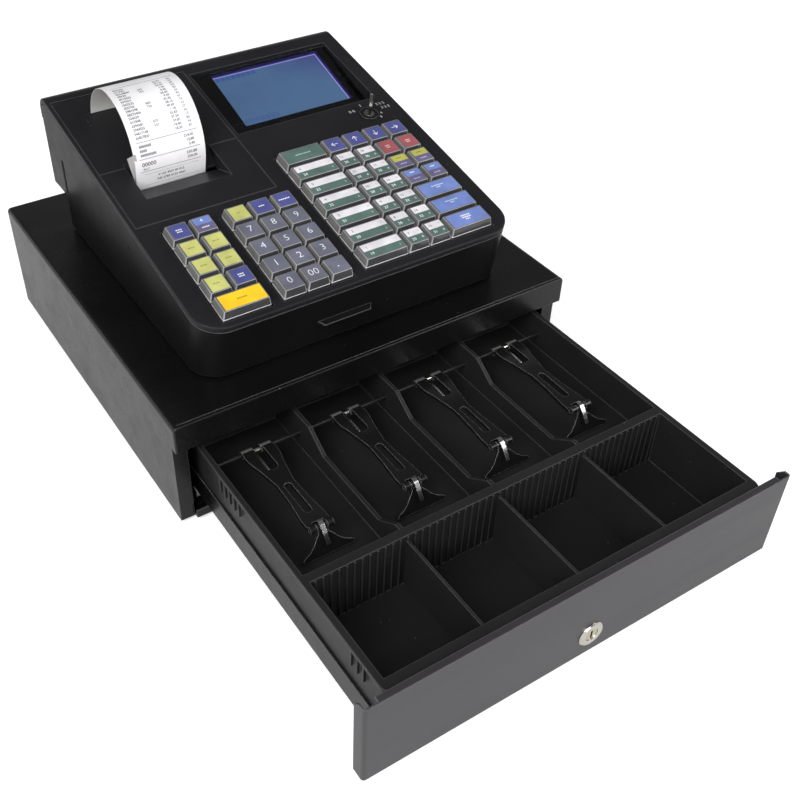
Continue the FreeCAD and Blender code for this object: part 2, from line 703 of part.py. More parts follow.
def make_till_tray():
    """Moulded tray: a coin trough in front, bill bays behind a cross wall, hollow below."""
    body = new_body("till_tray")
    low = "pan_level + steel"
    front = "-coin_front - till_wall"
    rear = "till_rear - till_wall"
    add_block(body, "-half_till", "half_till", front, rear, low, "rim_top - rim_depth")
    add_block(body, "-half_rim", "half_rim", "-till_front", "till_rear", "rim_top - rim_depth",
              "rim_top")
    half = value("half_rim")
    soften(body, "till_corner", lambda m, run: along(run, "Z") and near(abs(m.x), half))
    inside = "(half_till - till_wall)"
    cut_block(body, f"-{inside}", inside, "-coin_front", "-coin_back", "coin_floor", "rim_top")
    first = "-(bay_count - 1) / 2 * bill_pitch"
    bay = cut_block(body, f"{first} - bill_width / 2", f"{first} + bill_width / 2",
                    "-bill_front", f"{rear} - till_wall", "bill_floor", "rim_top")
    repeat(body, bay, "X", "bill_pitch", "bay_count")
    cut_block(body, f"-{inside}", inside, "-bill_front", f"{rear} - till_wall", low,
              "bill_floor - till_wall")
    cut_block(body, f"-{inside}", inside, "-coin_front", "-coin_back", low,
              "coin_floor - till_wall")
    scoop = outline(new_sketch(body, "YZ"), [
        ("-bill_front + 5", "rim_top"), ("-bill_front + 24", "rim_top - scoop_depth"),
        ("hinge_y - 32", "rim_top - scoop_depth"), ("hinge_y - 12", "rim_top")])
    pocket(body, scoop, "(bay_count - 1) * bill_pitch + bill_width", both=True)
    bore = ring(new_sketch(body, "YZ"), "hinge_y", "hinge_z", "hinge_radius + bore_gap")
    pocket(body, bore, "till_width - 1", both=True)
    for side in (-1, 1):
        edges = sorted((f"{side} * half_till", f"{side} * (half_rim - 0.4)"), key=value)
        for start, count in (("rib_front", "3"), ("rib_rear", "5")):
            rib = add_block(body, edges[0], edges[1], start, f"{start} + 1.2",
                            "rim_top - rib_height", "rim_top - rim_depth")
            repeat(body, rib, "Y", "side_rib_pitch", count)
    seat(body, "till_tray")


def make_till_fittings():
    """Coin dividers, the rod that the clips turn on and the clips' springs."""
    dividers = []
    for place in range(3):
        middle = f"{place - 1} * coin_pitch"
        dividers.append(box(f"{middle} - 1", f"{middle} + 1", "-coin_front + 0.2",
                            "-coin_back - 0.2", "coin_floor", "coin_divider_top"))
    seat(group(dividers), "coin_dividers")
    start = ("-(half_till - 0.7)", "hinge_y", "hinge_z")
    seat(group([rod("X", "hinge_radius", "till_width - 1.4", start)]), "clip_rod")
    springs = []
    for place in range(4):
        middle = f"{place - 1.5} * bill_pitch"
        start = (f"{middle} - lug_gap / 2 + 0.4", "hinge_y", "hinge_z")
        springs.append(tube("X", "lug_radius - 0.3", "hinge_radius + 0.1", "lug_gap - 0.8", start))
    seat(group(springs), "clip_springs")


def make_bill_clip(number):
    """One spring clip: the arm with its two lugs and knuckles, and the foot on its pin."""
    middle = f"{number - 2.5} * bill_pitch"
    body = new_body(f"bill_clip_{number}")
    right = [("clip_width / 2", "-0.7 * lug_radius"), ("clip_width / 2 + 0.8", "-7"),
             ("clip_width / 2 + 0.3", "-14"), ("clip_width / 2 - 2", "-23"),
             ("clip_waist / 2 + 1.6", "-33"), ("clip_waist / 2", "-42"),
             ("clip_waist / 2 + 0.6", "-60"), ("clip_nose / 2", "-clip_reach + 10"),
             ("clip_nose / 2", "-clip_reach")]
    left = [(f"-({across})", deep) for across, deep in reversed(right)]
    pad(body, outline(new_sketch(body, "XY", "0"), right + left), "clip_thick")
    pad(body, ring(new_sketch(body, "YZ"), "0", "0", "lug_radius"), "clip_width", both=True)
    knuckle = ring(new_sketch(body, "YZ"), "-clip_reach", "clip_rise", "knuckle_radius")
    pad(body, knuckle, "clip_nose", both=True)
    cut_block(body, "-lug_gap / 2", "lug_gap / 2", "-6", "lug_radius + 1", "-lug_radius - 1",
              "clip_thick + 2")
    for half, rear, front in (("clip_window", "-5", "-23"),
                              ("clip_slot", "-46", "-clip_reach + 17")):
        cut_block(body, f"-{half}", half, front, rear, "-1", "clip_thick + 2")
        for deep in (rear, front):
            end = ring(new_sketch(body, "XY", "clip_thick"), "0", deep, half)
            pocket(body, end, "clip_thick + 1")
    cut_block(body, "-knuckle_gap / 2", "knuckle_gap / 2", "-clip_reach - 4", "-clip_reach + 5",
              "-1", "clip_thick + 4")
    pocket(body, ring(new_sketch(body, "YZ"), "0", "0", "hinge_radius + bore_gap"),
           "clip_width + 2", both=True)
    bore = ring(new_sketch(body, "YZ"), "-clip_reach", "clip_rise", "foot_pin + bore_gap")
    pocket(body, bore, "clip_nose + 2", both=True)
    seat(body, f"bill_clip_{number}", (middle, "hinge_y", "hinge_z"))

    body = new_body(f"clip_foot_{number}")
    neck = "(knuckle_gap / 2 - 0.4)"
    right = [(neck, "0"), (neck, "-4.4"), ("0.17 * foot_flare", "-7.5"),
             ("0.24 * foot_flare", "-11"), ("0.34 * foot_flare", "-14.2"),
             ("0.46 * foot_flare", "-foot_length + 3"), ("foot_flare / 2", "-foot_length + 1.4"),
             ("0.49 * foot_flare", "-foot_length")]
    left = [(f"-({across})", deep) for across, deep in reversed(right)]
    pad(body, outline(new_sketch(body, "XY", "-1.1"), right + left), "2.2")
    pad(body, ring(new_sketch(body, "YZ"), "0", "0", "2 * foot_pin"), f"2 * {neck}", both=True)
    pad(body, ring(new_sketch(body, "YZ"), "0", "0", "foot_pin"), "clip_nose - 0.4", both=True)
    seat(body, f"clip_foot_{number}", (middle, "hinge_y - clip_reach", "hinge_z + clip_rise"),
         "foot_drop")


# ---------------------------------------------------------------- head

derive("rear_edge", "head_rear / cos(panel_slope)")
derive("well_rise", "(window_rear - window_front) * tan(window_tilt)")
derive("pivot_row", "printer_rear - seat_gap - cover_thick / 2")
derive("block_margin", "key_foot / 2 + 1.2")
derive("plate_level", "-(key_skirt + key_travel + plate_space)")


def head_form(label, wall, top):
    """The head's lower form, drawn in by a wall's thickness; its top is left at a given level."""
    body = new_body(label)
    start = f"(head_front + {wall})"
    floor = f"(head_low + {wall})"
    front_low = (f"{start} * cos(panel_slope) - tan(panel_slope)"
                 f" * ({floor} - panel_level - {start} * sin(panel_slope))")
    rear = f"(head_rear - {wall})"
    rear_inner = f"(head_rear - cover_thick - seam - {wall})"
    ledge = f"panel_level + head_rear * tan(panel_slope) - cover_drop - seam - {wall}"
    rear_top = f"panel_level + {top} / cos(panel_slope) + {rear_inner} * tan(panel_slope)"
    side = outline(new_sketch(body, "YZ"), [
        (front_low, floor), (f"head_step_y - {wall}", floor),
        (f"head_step_y - {wall}", f"head_step_z + {wall}"), (rear, f"head_step_z + {wall}"),
        (rear, ledge), (rear_inner, ledge), (rear_inner, rear_top),
        (panel_y(start, top), panel_z(start, top))])
    pad(body, side, f"head_width - 2 * {wall}", both=True)
    half, deep = value(f"half_head - {wall}"), value("head_rear")
    soften(body, f"head_corner - {wall}", lambda m, run: near(abs(m.x), half)
           and m.y < deep / 4 and abs(run.z) > abs(run.y) * 2)
    return body


def make_head_base():
    """Moulded lower housing, open at the top, with its step at the rear."""
    outer = head_form("HeadForm", "0", "seam_level")
    rear_inner = value("head_rear - cover_thick - seam")
    soften(outer, "head_top_round - cover_thick - seam", lambda m, run: along(run, "X")
           and near(m.y, rear_inner) and m.z > value("head_step_z + cover_drop + 40"))
    half, deep = value("half_head"), value("head_rear")
    soften(outer, "head_wall", lambda m, run: near(abs(m.x), half) and near(m.y, deep)
           and along(run, "Z"))
    core = head_form("HeadCore", "head_wall", "2")
    inlet = box("inlet_middle - inlet_width / 2", "inlet_middle + inlet_width / 2",
                "head_step_y - head_wall - 1", "head_step_y + 1", "head_low + inlet_low",
                "head_low + inlet_high")
    recess = box("-customer_width / 2", "customer_width / 2", "head_rear - customer_sink",
                 "head_rear + 1", "head_step_z + customer_low", "head_step_z + customer_high")
    seat(cut(outer, fuse([core, inlet, recess])), "head_base", ("head_shift", "0", "0"))


def make_head_cover():
    """Moulded cover with the key openings, the display's well and the printer's opening."""
    body = new_body("head_cover")
    drop_v = "rear_edge - cover_drop * sin(panel_slope)"
    drop_w = "-cover_drop * cos(panel_slope)"
    inner_v = "(head_rear - cover_thick - cover_thick * sin(panel_slope)) / cos(panel_slope)"
    side = outline(new_sketch(body, "YZ"), [
        ("head_front", "0"), ("rear_edge", "0"), (drop_v, drop_w),
        (f"{drop_v} - cover_thick * cos(panel_slope)",
         f"{drop_w} + cover_thick * sin(panel_slope)"),
        (inner_v, "-cover_thick"), ("head_front", "-cover_thick")])
    pad(body, side, "head_width", both=True)
    half, edge_v, inner = value("half_head"), value("rear_edge"), value(inner_v)
    thick = value("cover_thick")
    soften(body, "head_corner", lambda m, run: near(abs(m.x), half) and along(run, "Z")
           and m.y < edge_v / 4)
    soften(body, "head_top_round", lambda m, run: along(run, "X") and near(m.y, edge_v)
           and near(m.z, 0))
    soften(body, "head_top_round - cover_thick", lambda m, run: along(run, "X")
           and near(m.y, inner) and near(m.z, -thick))
    soften(body, "1.2", lambda m, run: near(m.z, 0) and near(m.x, 0) and m.y < edge_v / 4)
    ledge = "2.5"
    add_block(body, "printer_left + seat_gap", f"printer_right + {ledge}",
              f"printer_front - {ledge}", "printer_rear - 6", "-cover_thick - 2", "-cover_thick")
    add_block(body, "window_left - 2", "window_right + 2", "window_front - 2", "window_rear + 2",
              "-window_sink - 4", "-cover_thick")
    cut_block(body, f"printer_left + {ledge}", f"printer_right - {ledge}",
              f"printer_front + {ledge}", "printer_rear", "-cover_thick - 2", "0")
    cut_block(body, "printer_left", "printer_right", "printer_front", "printer_rear",
              "-cover_thick", "0")
    blocks = [("left_column", "left_column + key_pitch", "row_0", "row_0 + 4 * key_pitch"),
              ("digit_column", "digit_column + 2 * key_pitch", "row_0", "row_0 + 4 * key_pitch"),
              ("block_column - key_pitch / 2", "block_column + 4.5 * key_pitch", "block_row",
               "block_row + 6 * key_pitch")]
    for left, right, front, rear in blocks:
        cut_block(body, f"{left} - block_margin", f"{right} + block_margin",
                  f"{front} - block_margin", f"{rear} + block_margin", "-cover_thick", "0")
    glass = "-window_sink - window_thick"
    well = outline(new_sketch(body, "YZ", "window_left"), [
        ("window_front", "1"), ("window_front", glass), ("window_rear", f"{glass} + well_rise"),
        ("window_rear", "1")])
    pocket(body, well, "window_right - window_left", back=True)
    cut_block(body, "window_left + 4", "window_right - 4", "window_front + 4", "window_rear - 4",
              "-window_sink - 5", "0")
    hole = ring(new_sketch(body, "XY", "0"), "mode_column", "mode_row", "mode_radius + 0.1")
    pocket(body, hole, "cover_thick + 1")
    pins = ring(new_sketch(body, "YZ", "printer_left - 2.3"), "pivot_row", "-cover_thick / 2",
                "lid_pin + bore_gap")
    pocket(body, pins, "printer_right - printer_left + 4.6", back=True)
    for across in ("-half_head + 13", "half_head - 13"):
        for deep in ("head_front + 14", "printer_front - 10"):
            pillar = ring(new_sketch(body, "XY", "-cover_thick"), across, deep, "pillar_radius")
            pad(body, pillar, "-plate_level - cover_thick", back=True)
    seat_on_panel(body, "head_cover")


def make_display():
    """Display window in its well, the display behind it and the customer's window."""
    slope = "panel_slope + window_tilt"
    glass_low = "-window_sink - window_thick"
    length = "(window_rear - window_front) / cos(window_tilt) - 2"
    window = box("0", "window_right - window_left - 0.6", "0", length, "0", "window_thick")
    front = "window_front + 1"
    corner = f"{glass_low} + 1 * tan(window_tilt)"
    start = ("head_shift + window_left + 0.3", panel_y(front, corner), panel_z(front, corner))
    seat(group([window]), "display_window", start, slope)
    side = "(window_right - window_left - lcd_width) / 2 + lcd_shift"
    lcd = box(side, f"{side} + lcd_width", "10", "10 + lcd_depth", "-lcd_thick", "0")
    seat(group([lcd]), "lcd_panel", start, slope)
    reach = "(customer_width / 2 - seat_gap)"
    glass = box(f"head_shift - {reach}", f"head_shift + {reach}", "head_rear - customer_sink",
                "head_rear + 0.4", "head_step_z + customer_low + seat_gap",
                "head_step_z + customer_high - seat_gap")
    seat(group([glass]), "customer_window")


def make_printer():
    """Printer cover, roll lid, receipt, print mechanism with its spindle, roll and platen."""
    left, right = "printer_left + seat_gap", "printer_right - seat_gap"
    body = new_body("printer_cover")
    add_block(body, left, right, "printer_front + seat_gap", "lid_front - seat_gap",
              "-cover_thick", "0")
    cut_block(body, "slot_left", "slot_right", "slot_front", "lid_front", "-cover_thick", "0")
    lip = "paper_line - 3"
    slope = outline(new_sketch(body, "YZ", "slot_left"), [
        ("slot_front - 2", "0"), ("slot_front", "0"), (lip, "-pocket_sink"),
        (lip, "-pocket_sink - 2"), ("slot_front - 2", "-4")])
    pad(body, slope, "slot_right - slot_left")
    for side in ("slot_left - 1.5", "slot_right"):
        add_block(body, side, f"{side} + 1.5", "slot_front", "lid_front - seat_gap",
                  "-pocket_sink - 2", "0")
    seat_on_panel(body, "printer_cover")

    body = new_body("roll_cover")
    tongue_left, tongue_right = "slot_left + seat_gap", "slot_right - seat_gap"
    add_block(body, left, right, "lid_front", "printer_rear - seat_gap", "-cover_thick", "0")
    slope = outline(new_sketch(body, "YZ", tongue_left), [
        ("lid_front + 9", "-cover_thick"), ("paper_line + 2", "-pocket_sink - 2"),
        ("paper_line + 2", "-pocket_sink"), ("lid_front + 4.5", "0"), ("lid_front + 9", "0")])
    pad(body, slope, "slot_right - slot_left - 2 * seat_gap")
    hollow = outline(new_sketch(body, "YZ", tongue_left), [
        ("lid_front - 2", "1"), ("paper_line + 2", "1"), ("paper_line + 2", "-pocket_sink"),
        ("lid_front + 4.5", "0"), ("lid_front + 4.5", "1")])
    pocket(body, hollow, "slot_right - slot_left - 2 * seat_gap", back=True)
    rear = value("printer_rear - seat_gap")
    soften(body, "cover_thick / 2 - 0.01", lambda m, run: along(run, "X") and near(m.y, rear))
    pins = ring(new_sketch(body, "YZ", "printer_left - 2"), "pivot_row", "-cover_thick / 2",
                "lid_pin")
    pad(body, pins, "printer_right - printer_left + 4")
    seat_on_panel(body, "roll_cover")

    paper_left = "paper_middle - paper_width / 2"
    centre = ("paper_line + loop_radius", "paper_thick + 0.3")
    start = (paper_left, centre[0], centre[1])
    loop = tube("X", "loop_radius", "loop_radius - paper_thick", "paper_width", start)
    upper = box(paper_left, f"{paper_left} + paper_width", "paper_line - 1",
                "paper_line + 2 * loop_radius + 1", centre[1], "loop_radius + 2")
    half_loop = doc.addObject("Part::Common", "HalfLoop")
    half_loop.Base = loop
    half_loop.Tool = upper
    strip = box(paper_left, f"{paper_left} + paper_width", "paper_line",
                "paper_line + paper_thick", "-20", centre[1])
    seat_on_panel(fuse([half_loop, strip]), "receipt_paper")

    floor = "head_low + head_wall"
    paper_x = "head_shift + paper_middle"
    gap = "(paper_width / 2 + 1)"
    plate = box(f"{paper_x} - {gap} - 3", f"{paper_x} + {gap} + 3", "platen_y - 14",
                "roll_y + 22", floor, f"{floor} + 3")
    cheeks = []
    for start_x in (f"{paper_x} - {gap} - 2", f"{paper_x} + {gap}"):
        cheeks.append(box(start_x, f"{start_x} + 2", "platen_y - 12", "roll_y + 12", floor,
                          "platen_z + 6"))
    head = box(f"{paper_x} - {gap}", f"{paper_x} + {gap}", "platen_y - 18", "platen_y - 8",
               "platen_z - 14", "platen_z + 3")
    spindle = rod("X", "core_radius - bore_gap", "paper_width + 4",
                  (f"{paper_x} - {gap} - 1", "roll_y", "roll_z"))
    frame = fuse([plate, *cheeks, head, spindle])
    axle_hole = rod("X", "platen_axle + bore_gap", "paper_width + 8",
                    (f"{paper_x} - {gap} - 3", "platen_y", "platen_z"))
    seat(cut(frame, axle_hole), "print_mechanism")
    start = (f"{paper_x} - paper_width / 2", "roll_y", "roll_z")
    seat(tube("X", "roll_radius", "core_radius", "paper_width", start), "paper_roll")
    start = (f"{paper_x} - paper_width / 2", "platen_y", "platen_z")
    axle = rod("X", "platen_axle", "paper_width + 5.6", (f"{paper_x} - {gap} - 1.8", "platen_y",
                                                 "platen_z"))
    seat(fuse([rod("X", "platen_radius", "paper_width", start), axle]), "platen_roller")


def make_mode_lock():
    """Ring of the mode lock and the key that turns its plug."""
    body = new_body("mode_lock_barrel")
    pad(body, ring(new_sketch(body, "XY", "-12"), "0", "0", "mode_radius"), "12")
    pad(body, ring(new_sketch(body, "XY"), "0", "0", "mode_radius + 1.3"), "1.2")
    pocket(body, ring(new_sketch(body, "XY", "2"), "0", "0", "mode_plug + bore_gap"), "15")
    start = ("head_shift + mode_column", panel_y("mode_row", "0"), panel_z("mode_row", "0"))
    seat(body, "mode_lock_barrel", start, "panel_slope")

    body = new_body("mode_key")
    pad(body, ring(new_sketch(body, "XY", "-10"), "0", "0", "mode_plug"), "10.8")
    for wide, low, high in (("3.2", "0.5", "6"), ("bow_width / 2", "5", "bow_height")):
        corners = []
        for across, deep in ((-1, -1), (1, -1), (1, 1), (-1, 1)):
            flat = f"{deep} * bow_thick / 2"
            corners.append((f"{across} * ({wide}) * cos(key_turn) - {flat} * sin(key_turn)",
                            f"{across} * ({wide}) * sin(key_turn) + {flat} * cos(key_turn)"))
        pad(body, outline(new_sketch(body, "XY", low), corners), f"{high} - {low}")
    top = value("bow_height")
    soften(body, "5", lambda m, run: near(m.z, top) and run.Length < value("2 * bow_thick"))
    seat(body, "mode_key", start, "panel_slope")


def make_head_inside():
    """Main board on its pillars and the power inlet in the lower rear wall."""
    floor = "head_low + head_wall"
    low = f"{floor} + pillar_height"
    board = box("board_left", "board_right", "board_front", "board_rear", low,
                f"{low} + board_thick")
    pillars = []
    for across in ("board_left + 6", "board_right - 6"):
        for deep in ("board_front + 6", "board_rear - 6"):
            pillars.append(rod("Z", "pillar_radius", "pillar_height + 0.5",
                               (across, deep, floor)))
    chips = []
    for right, back, wide in (("30", "40", "28"), ("70", "40", "22"), ("50", "100", "34")):
        left, front = f"board_left + {right}", f"board_front + {back}"
        chips.append(box(left, f"{left} + {wide}", front, f"{front} + {wide}", f"{low} + 1",
                         f"{low} + 4"))
    seat(fuse([board, *pillars, *chips]), "control_board")

    body = new_body("power_inlet")
    middle, reach = "(head_shift + inlet_middle)", "(inlet_width / 2 - 0.2)"
    left, right = f"{middle} - {reach}", f"{middle} + {reach}"
    low, high = "head_low + inlet_low + 0.2", "head_low + inlet_high - 0.2"
    add_block(body, left, right, "head_step_y - 16", "head_step_y", low, high)
    add_block(body, f"{left} - 2", f"{right} + 2", "head_step_y", "head_step_y + 1.5",
              f"{low} - 2.2", f"{high} + 2.2")
    socket = rectangle(new_sketch(body, "XZ", "head_step_y + 1.5"), f"{left} + 3", f"{right} - 3",
                       f"{low} + 2.8", f"{high} - 2.8")
    pocket(body, socket, "12", back=True)
    seat(body, "power_inlet")


# ---------------------------------------------------------------- keys

stems = []


def make_key(across, deep, units="1"):
    """One clear cap with its stem; the stem's place is kept for the keyboard plate."""
    foot = f"key_foot + ({units} - 1) * key_pitch"
    crown = f"key_crown + ({units} - 1) * key_pitch"
    cap = frustum(across, deep, "-key_skirt", "key_rise", foot, "key_foot", crown, "key_crown")
    low = "-key_skirt - stem_length"
    stem = box(f"{across} - stem_width / 2", f"{across} + stem_width / 2",
               f"{deep} - stem_width / 2", f"{deep} + stem_width / 2", low, "-key_skirt + 1")
    stems.append((across, deep))
    return fuse([cap, stem])


def make_keys():
    """Number keys one by one, and the banks of function and department keys."""
    digit_rows = [("0", "key_double_zero", "key_decimal"), ("1", "2", "3"), ("4", "5", "6"),
                  ("7", "8", "9")]
    for row, names in enumerate(digit_rows):
        for column, name in enumerate(names):
            cap = make_key(f"(digit_column + {column} * key_pitch)",
                           f"(row_0 + {row} * key_pitch)")
            seat_on_panel(cap, f"key_{name}" if len(name) == 1 else name)
    top = "(row_0 + 4 * key_pitch)"
    plu = [make_key(f"(digit_column + {column} * key_pitch)", top) for column in range(3)]
    seat_on_panel(group(plu), "plu_keys")

    wide = make_key("(left_column + key_pitch / 2)", "row_0", "2")
    seat_on_panel(wide, "key_clear")
    left = []
    for row in range(1, 5):
        for column in range(2):
            left.append(make_key(f"(left_column + {column} * key_pitch)",
                                 f"(row_0 + {row} * key_pitch)"))
    seat_on_panel(group(left), "left_function_keys")

    small = "block_column + 1.5 * key_pitch"
    upper = "(block_row + 6 * key_pitch)"
    cursor = [make_key("block_column", upper, "2")]
    cursor += [make_key(f"({small} + {column} * key_pitch)", upper) for column in range(4)]
    seat_on_panel(group(cursor), "cursor_keys")
    department = []
    for row in range(6):
        deep = f"(block_row + {row} * key_pitch)"
        department.append(make_key("block_column", deep, "2"))
        for column in range(2):
            department.append(make_key(f"({small} + {column} * key_pitch)", deep))
    seat_on_panel(group(department), "department_keys")
    right = []
    for row in range(3, 6):
        for column in (2, 3):
            right.append(make_key(f"({small} + {column} * key_pitch)",
                                  f"(block_row + {row} * key_pitch)"))
    for row in (1, 2):
        right.append(make_key(f"({small} + 2.5 * key_pitch)",
                              f"(block_row + {row} * key_pitch)", "2"))
    seat_on_panel(group(right), "right_function_keys")
    seat_on_panel(make_key(f"({small} + 2.5 * key_pitch)", "block_row", "2"), "total_key")


def make_keyboard_plate():
    """Plate under the cover that guides every key's stem."""
    low = "plate_level - plate_thick"
    side = "half_head - 9.5"
    main = box(f"-({side})", side, "head_front + 9", "printer_front - 5", low, "plate_level")
    rear = box("printer_right + 6", side, "printer_front - 5", "window_front - 36", low,
               "plate_level")
    holes = []
    for across, deep in stems:
        half = "(stem_width / 2 + seat_gap)"
        holes.append(box(f"{across} - {half}", f"{across} + {half}", f"{deep} - {half}",
                         f"{deep} + {half}", low, "plate_level"))
    seat_on_panel(cut(fuse([main, rear]), group(holes)), "keyboard_plate")


# ---------------------------------------------------------------- assembly

make_cabinet_shell()
make_cabinet_base()
make_feet_and_screws()
make_fixed_rails()
make_rollers()
make_latch()
make_drawer_pan()
make_drawer_front()
make_drawer_lock()
make_till_tray()
make_till_fittings()
for clip in range(1, 5):
    make_bill_clip(clip)
make_head_base()
make_head_cover()
make_display()
make_printer()
make_mode_lock()
make_head_inside()
make_keys()
make_keyboard_plate()
doc.recompute()

for item in doc.Objects:
    if "Invalid" in item.State or "Error" in item.State:
        raise RuntimeError(f"{item.Name} did not build: {item.State}")
for node in nodes:
    if node.Shape.isNull() or not node.Shape.isValid():
        raise RuntimeError(f"{node.Label} has no valid shape")

os.makedirs("parts", exist_ok=True)
for node in nodes:
    node.Shape.exportStep(f"parts/{node.Label}.step")
print(len(nodes), "sub-parts written")
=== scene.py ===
import math

import bpy
import numpy as np
from mathutils import Matrix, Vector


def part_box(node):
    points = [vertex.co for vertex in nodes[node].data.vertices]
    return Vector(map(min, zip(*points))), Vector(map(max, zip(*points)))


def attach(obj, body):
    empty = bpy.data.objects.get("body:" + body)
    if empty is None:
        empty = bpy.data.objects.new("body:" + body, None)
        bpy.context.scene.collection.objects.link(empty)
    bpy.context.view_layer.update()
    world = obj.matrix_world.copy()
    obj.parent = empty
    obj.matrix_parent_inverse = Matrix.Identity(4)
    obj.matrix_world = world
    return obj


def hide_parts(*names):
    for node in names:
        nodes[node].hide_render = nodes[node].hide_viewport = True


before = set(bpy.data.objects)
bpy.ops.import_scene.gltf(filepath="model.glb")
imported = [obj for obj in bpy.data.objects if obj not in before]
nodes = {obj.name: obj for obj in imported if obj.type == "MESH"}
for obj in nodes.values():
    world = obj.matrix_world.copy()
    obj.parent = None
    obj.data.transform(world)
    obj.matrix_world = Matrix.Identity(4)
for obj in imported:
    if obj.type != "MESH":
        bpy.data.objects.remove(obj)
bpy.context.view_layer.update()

# ------------------------------------------------------------------ cabinet
# The steel cabinet: a wrapped shell over a base tray, both of 1.2 mm sheet, bent on a press
# and powder coated near-black with a fine orange-peel skin. A bead stiffens the front fold.


def wire(tree, kind, inputs=None, **settings):
    """One shader node: its settings, then its inputs, each a number, a colour or a link."""
    made = tree.nodes.new("ShaderNode" + kind)
    for key, setting in settings.items():
        setattr(made, key, setting)
    for key, given in (inputs or {}).items():
        socket = made.inputs[key]
        if isinstance(given, bpy.types.NodeSocket):
            tree.links.new(given, socket)
        else:
            socket.default_value = given
    return made


def sums(tree, operation, *terms):
    """Output of one Math node."""
    return wire(tree, "Math", dict(enumerate(terms)), operation=operation).outputs[0]


def ramped(tree, signal, low, high, start=0.0, end=1.0):
    """A signal moved from one range to another and held at its ends."""
    return wire(tree, "MapRange", {"Value": signal, "From Min": low, "From Max": high,
                                   "To Min": start, "To Max": end}).outputs["Result"]


def blended(tree, share, first, second, mode="MIX"):
    """Output of one colour Mix node."""
    mixed = wire(tree, "Mix", {0: share, 6: first, 7: second}, data_type="RGBA", blend_type=mode)
    return mixed.outputs[2]


def effect(name, inputs, outputs):
    """An empty shader node group with its named sockets, and its two ends."""
    group = bpy.data.node_groups.new(name, "ShaderNodeTree")
    for label, kind, start in inputs:
        socket = group.interface.new_socket(label, in_out="INPUT", socket_type="NodeSocket" + kind)
        socket.default_value = start
    for label, kind in outputs:
        group.interface.new_socket(label, in_out="OUTPUT", socket_type="NodeSocket" + kind)
    return group, group.nodes.new("NodeGroupInput"), group.nodes.new("NodeGroupOutput")


# Skin of a coated or moulded surface: a fine grain, a slow mottle, wiped smears and dust.
grain, grain_in, grain_out = effect(
    "surface_grain",
    [("Grain", "Float", 900.0), ("Mottle", "Float", 14.0)],
    [("Height", "Float"), ("Shade", "Float"), ("Gloss", "Float"), ("Dust", "Float")])
where = wire(grain, "TexCoord").outputs["Object"]
fine = wire(grain, "TexNoise", {"Vector": where, "Scale": grain_in.outputs["Grain"],
                                "Detail": 2.0, "Roughness": 0.6}).outputs[0]
slow = wire(grain, "TexNoise", {"Vector": where, "Scale": grain_in.outputs["Mottle"],
                                "Detail": 4.0, "Roughness": 0.55}).outputs[0]
smear = wire(grain, "TexNoise", {"Vector": wire(grain, "Mapping", {
    "Vector": where, "Scale": (9.0, 60.0, 60.0)}).outputs[0], "Scale": 1.0,
    "Detail": 3.0}).outputs[0]
speck = wire(grain, "TexVoronoi", {"Vector": where, "Scale": 170.0, "Randomness": 1.0})
small = sums(grain, "LESS_THAN", speck.outputs["Distance"], 0.07)
rare = wire(grain, "SeparateColor", {"Color": speck.outputs["Color"]}).outputs["Red"]
grain.links.new(fine, grain_out.inputs["Height"])
grain.links.new(ramped(grain, slow, 0.3, 0.7, 0.84, 1.16), grain_out.inputs["Shade"])
grain.links.new(sums(grain, "ADD", ramped(grain, slow, 0.3, 0.7, -0.03, 0.03),
                     ramped(grain, smear, 0.45, 0.7, 0.0, 0.05)), grain_out.inputs["Gloss"])
grain.links.new(sums(grain, "MULTIPLY", small, sums(grain, "GREATER_THAN", rare, 0.92)),
                grain_out.inputs["Dust"])

# Rounded edges: the surface's normal turned over each sharp edge, and a mask there that paints
# each edge lighter, as rubbed wear and as a painted highlight.
highlit_edges, highlit_edges_in, highlit_edges_out = effect(
    "worn_and_highlit_edges", [("Radius", "Float", 0.0006), ("Wear_and_highlight", "Float", 1.0)],
    [("Normal", "Vector"), ("Mask", "Float")])
round_normal = wire(highlit_edges, "Bevel", {"Radius": highlit_edges_in.outputs["Radius"]}, samples=4).outputs[0]
turned = wire(highlit_edges, "VectorMath", {0: round_normal,
                                     1: wire(highlit_edges, "NewGeometry").outputs["Normal"]},
              operation="DOT_PRODUCT").outputs["Value"]
highlit_edges.links.new(round_normal, highlit_edges_out.inputs["Normal"])
highlit_edges.links.new(ramped(highlit_edges, turned, 0.985, 0.80, 0.0, highlit_edges_in.outputs["Wear_and_highlight"]),
                 highlit_edges_out.inputs["Mask"])


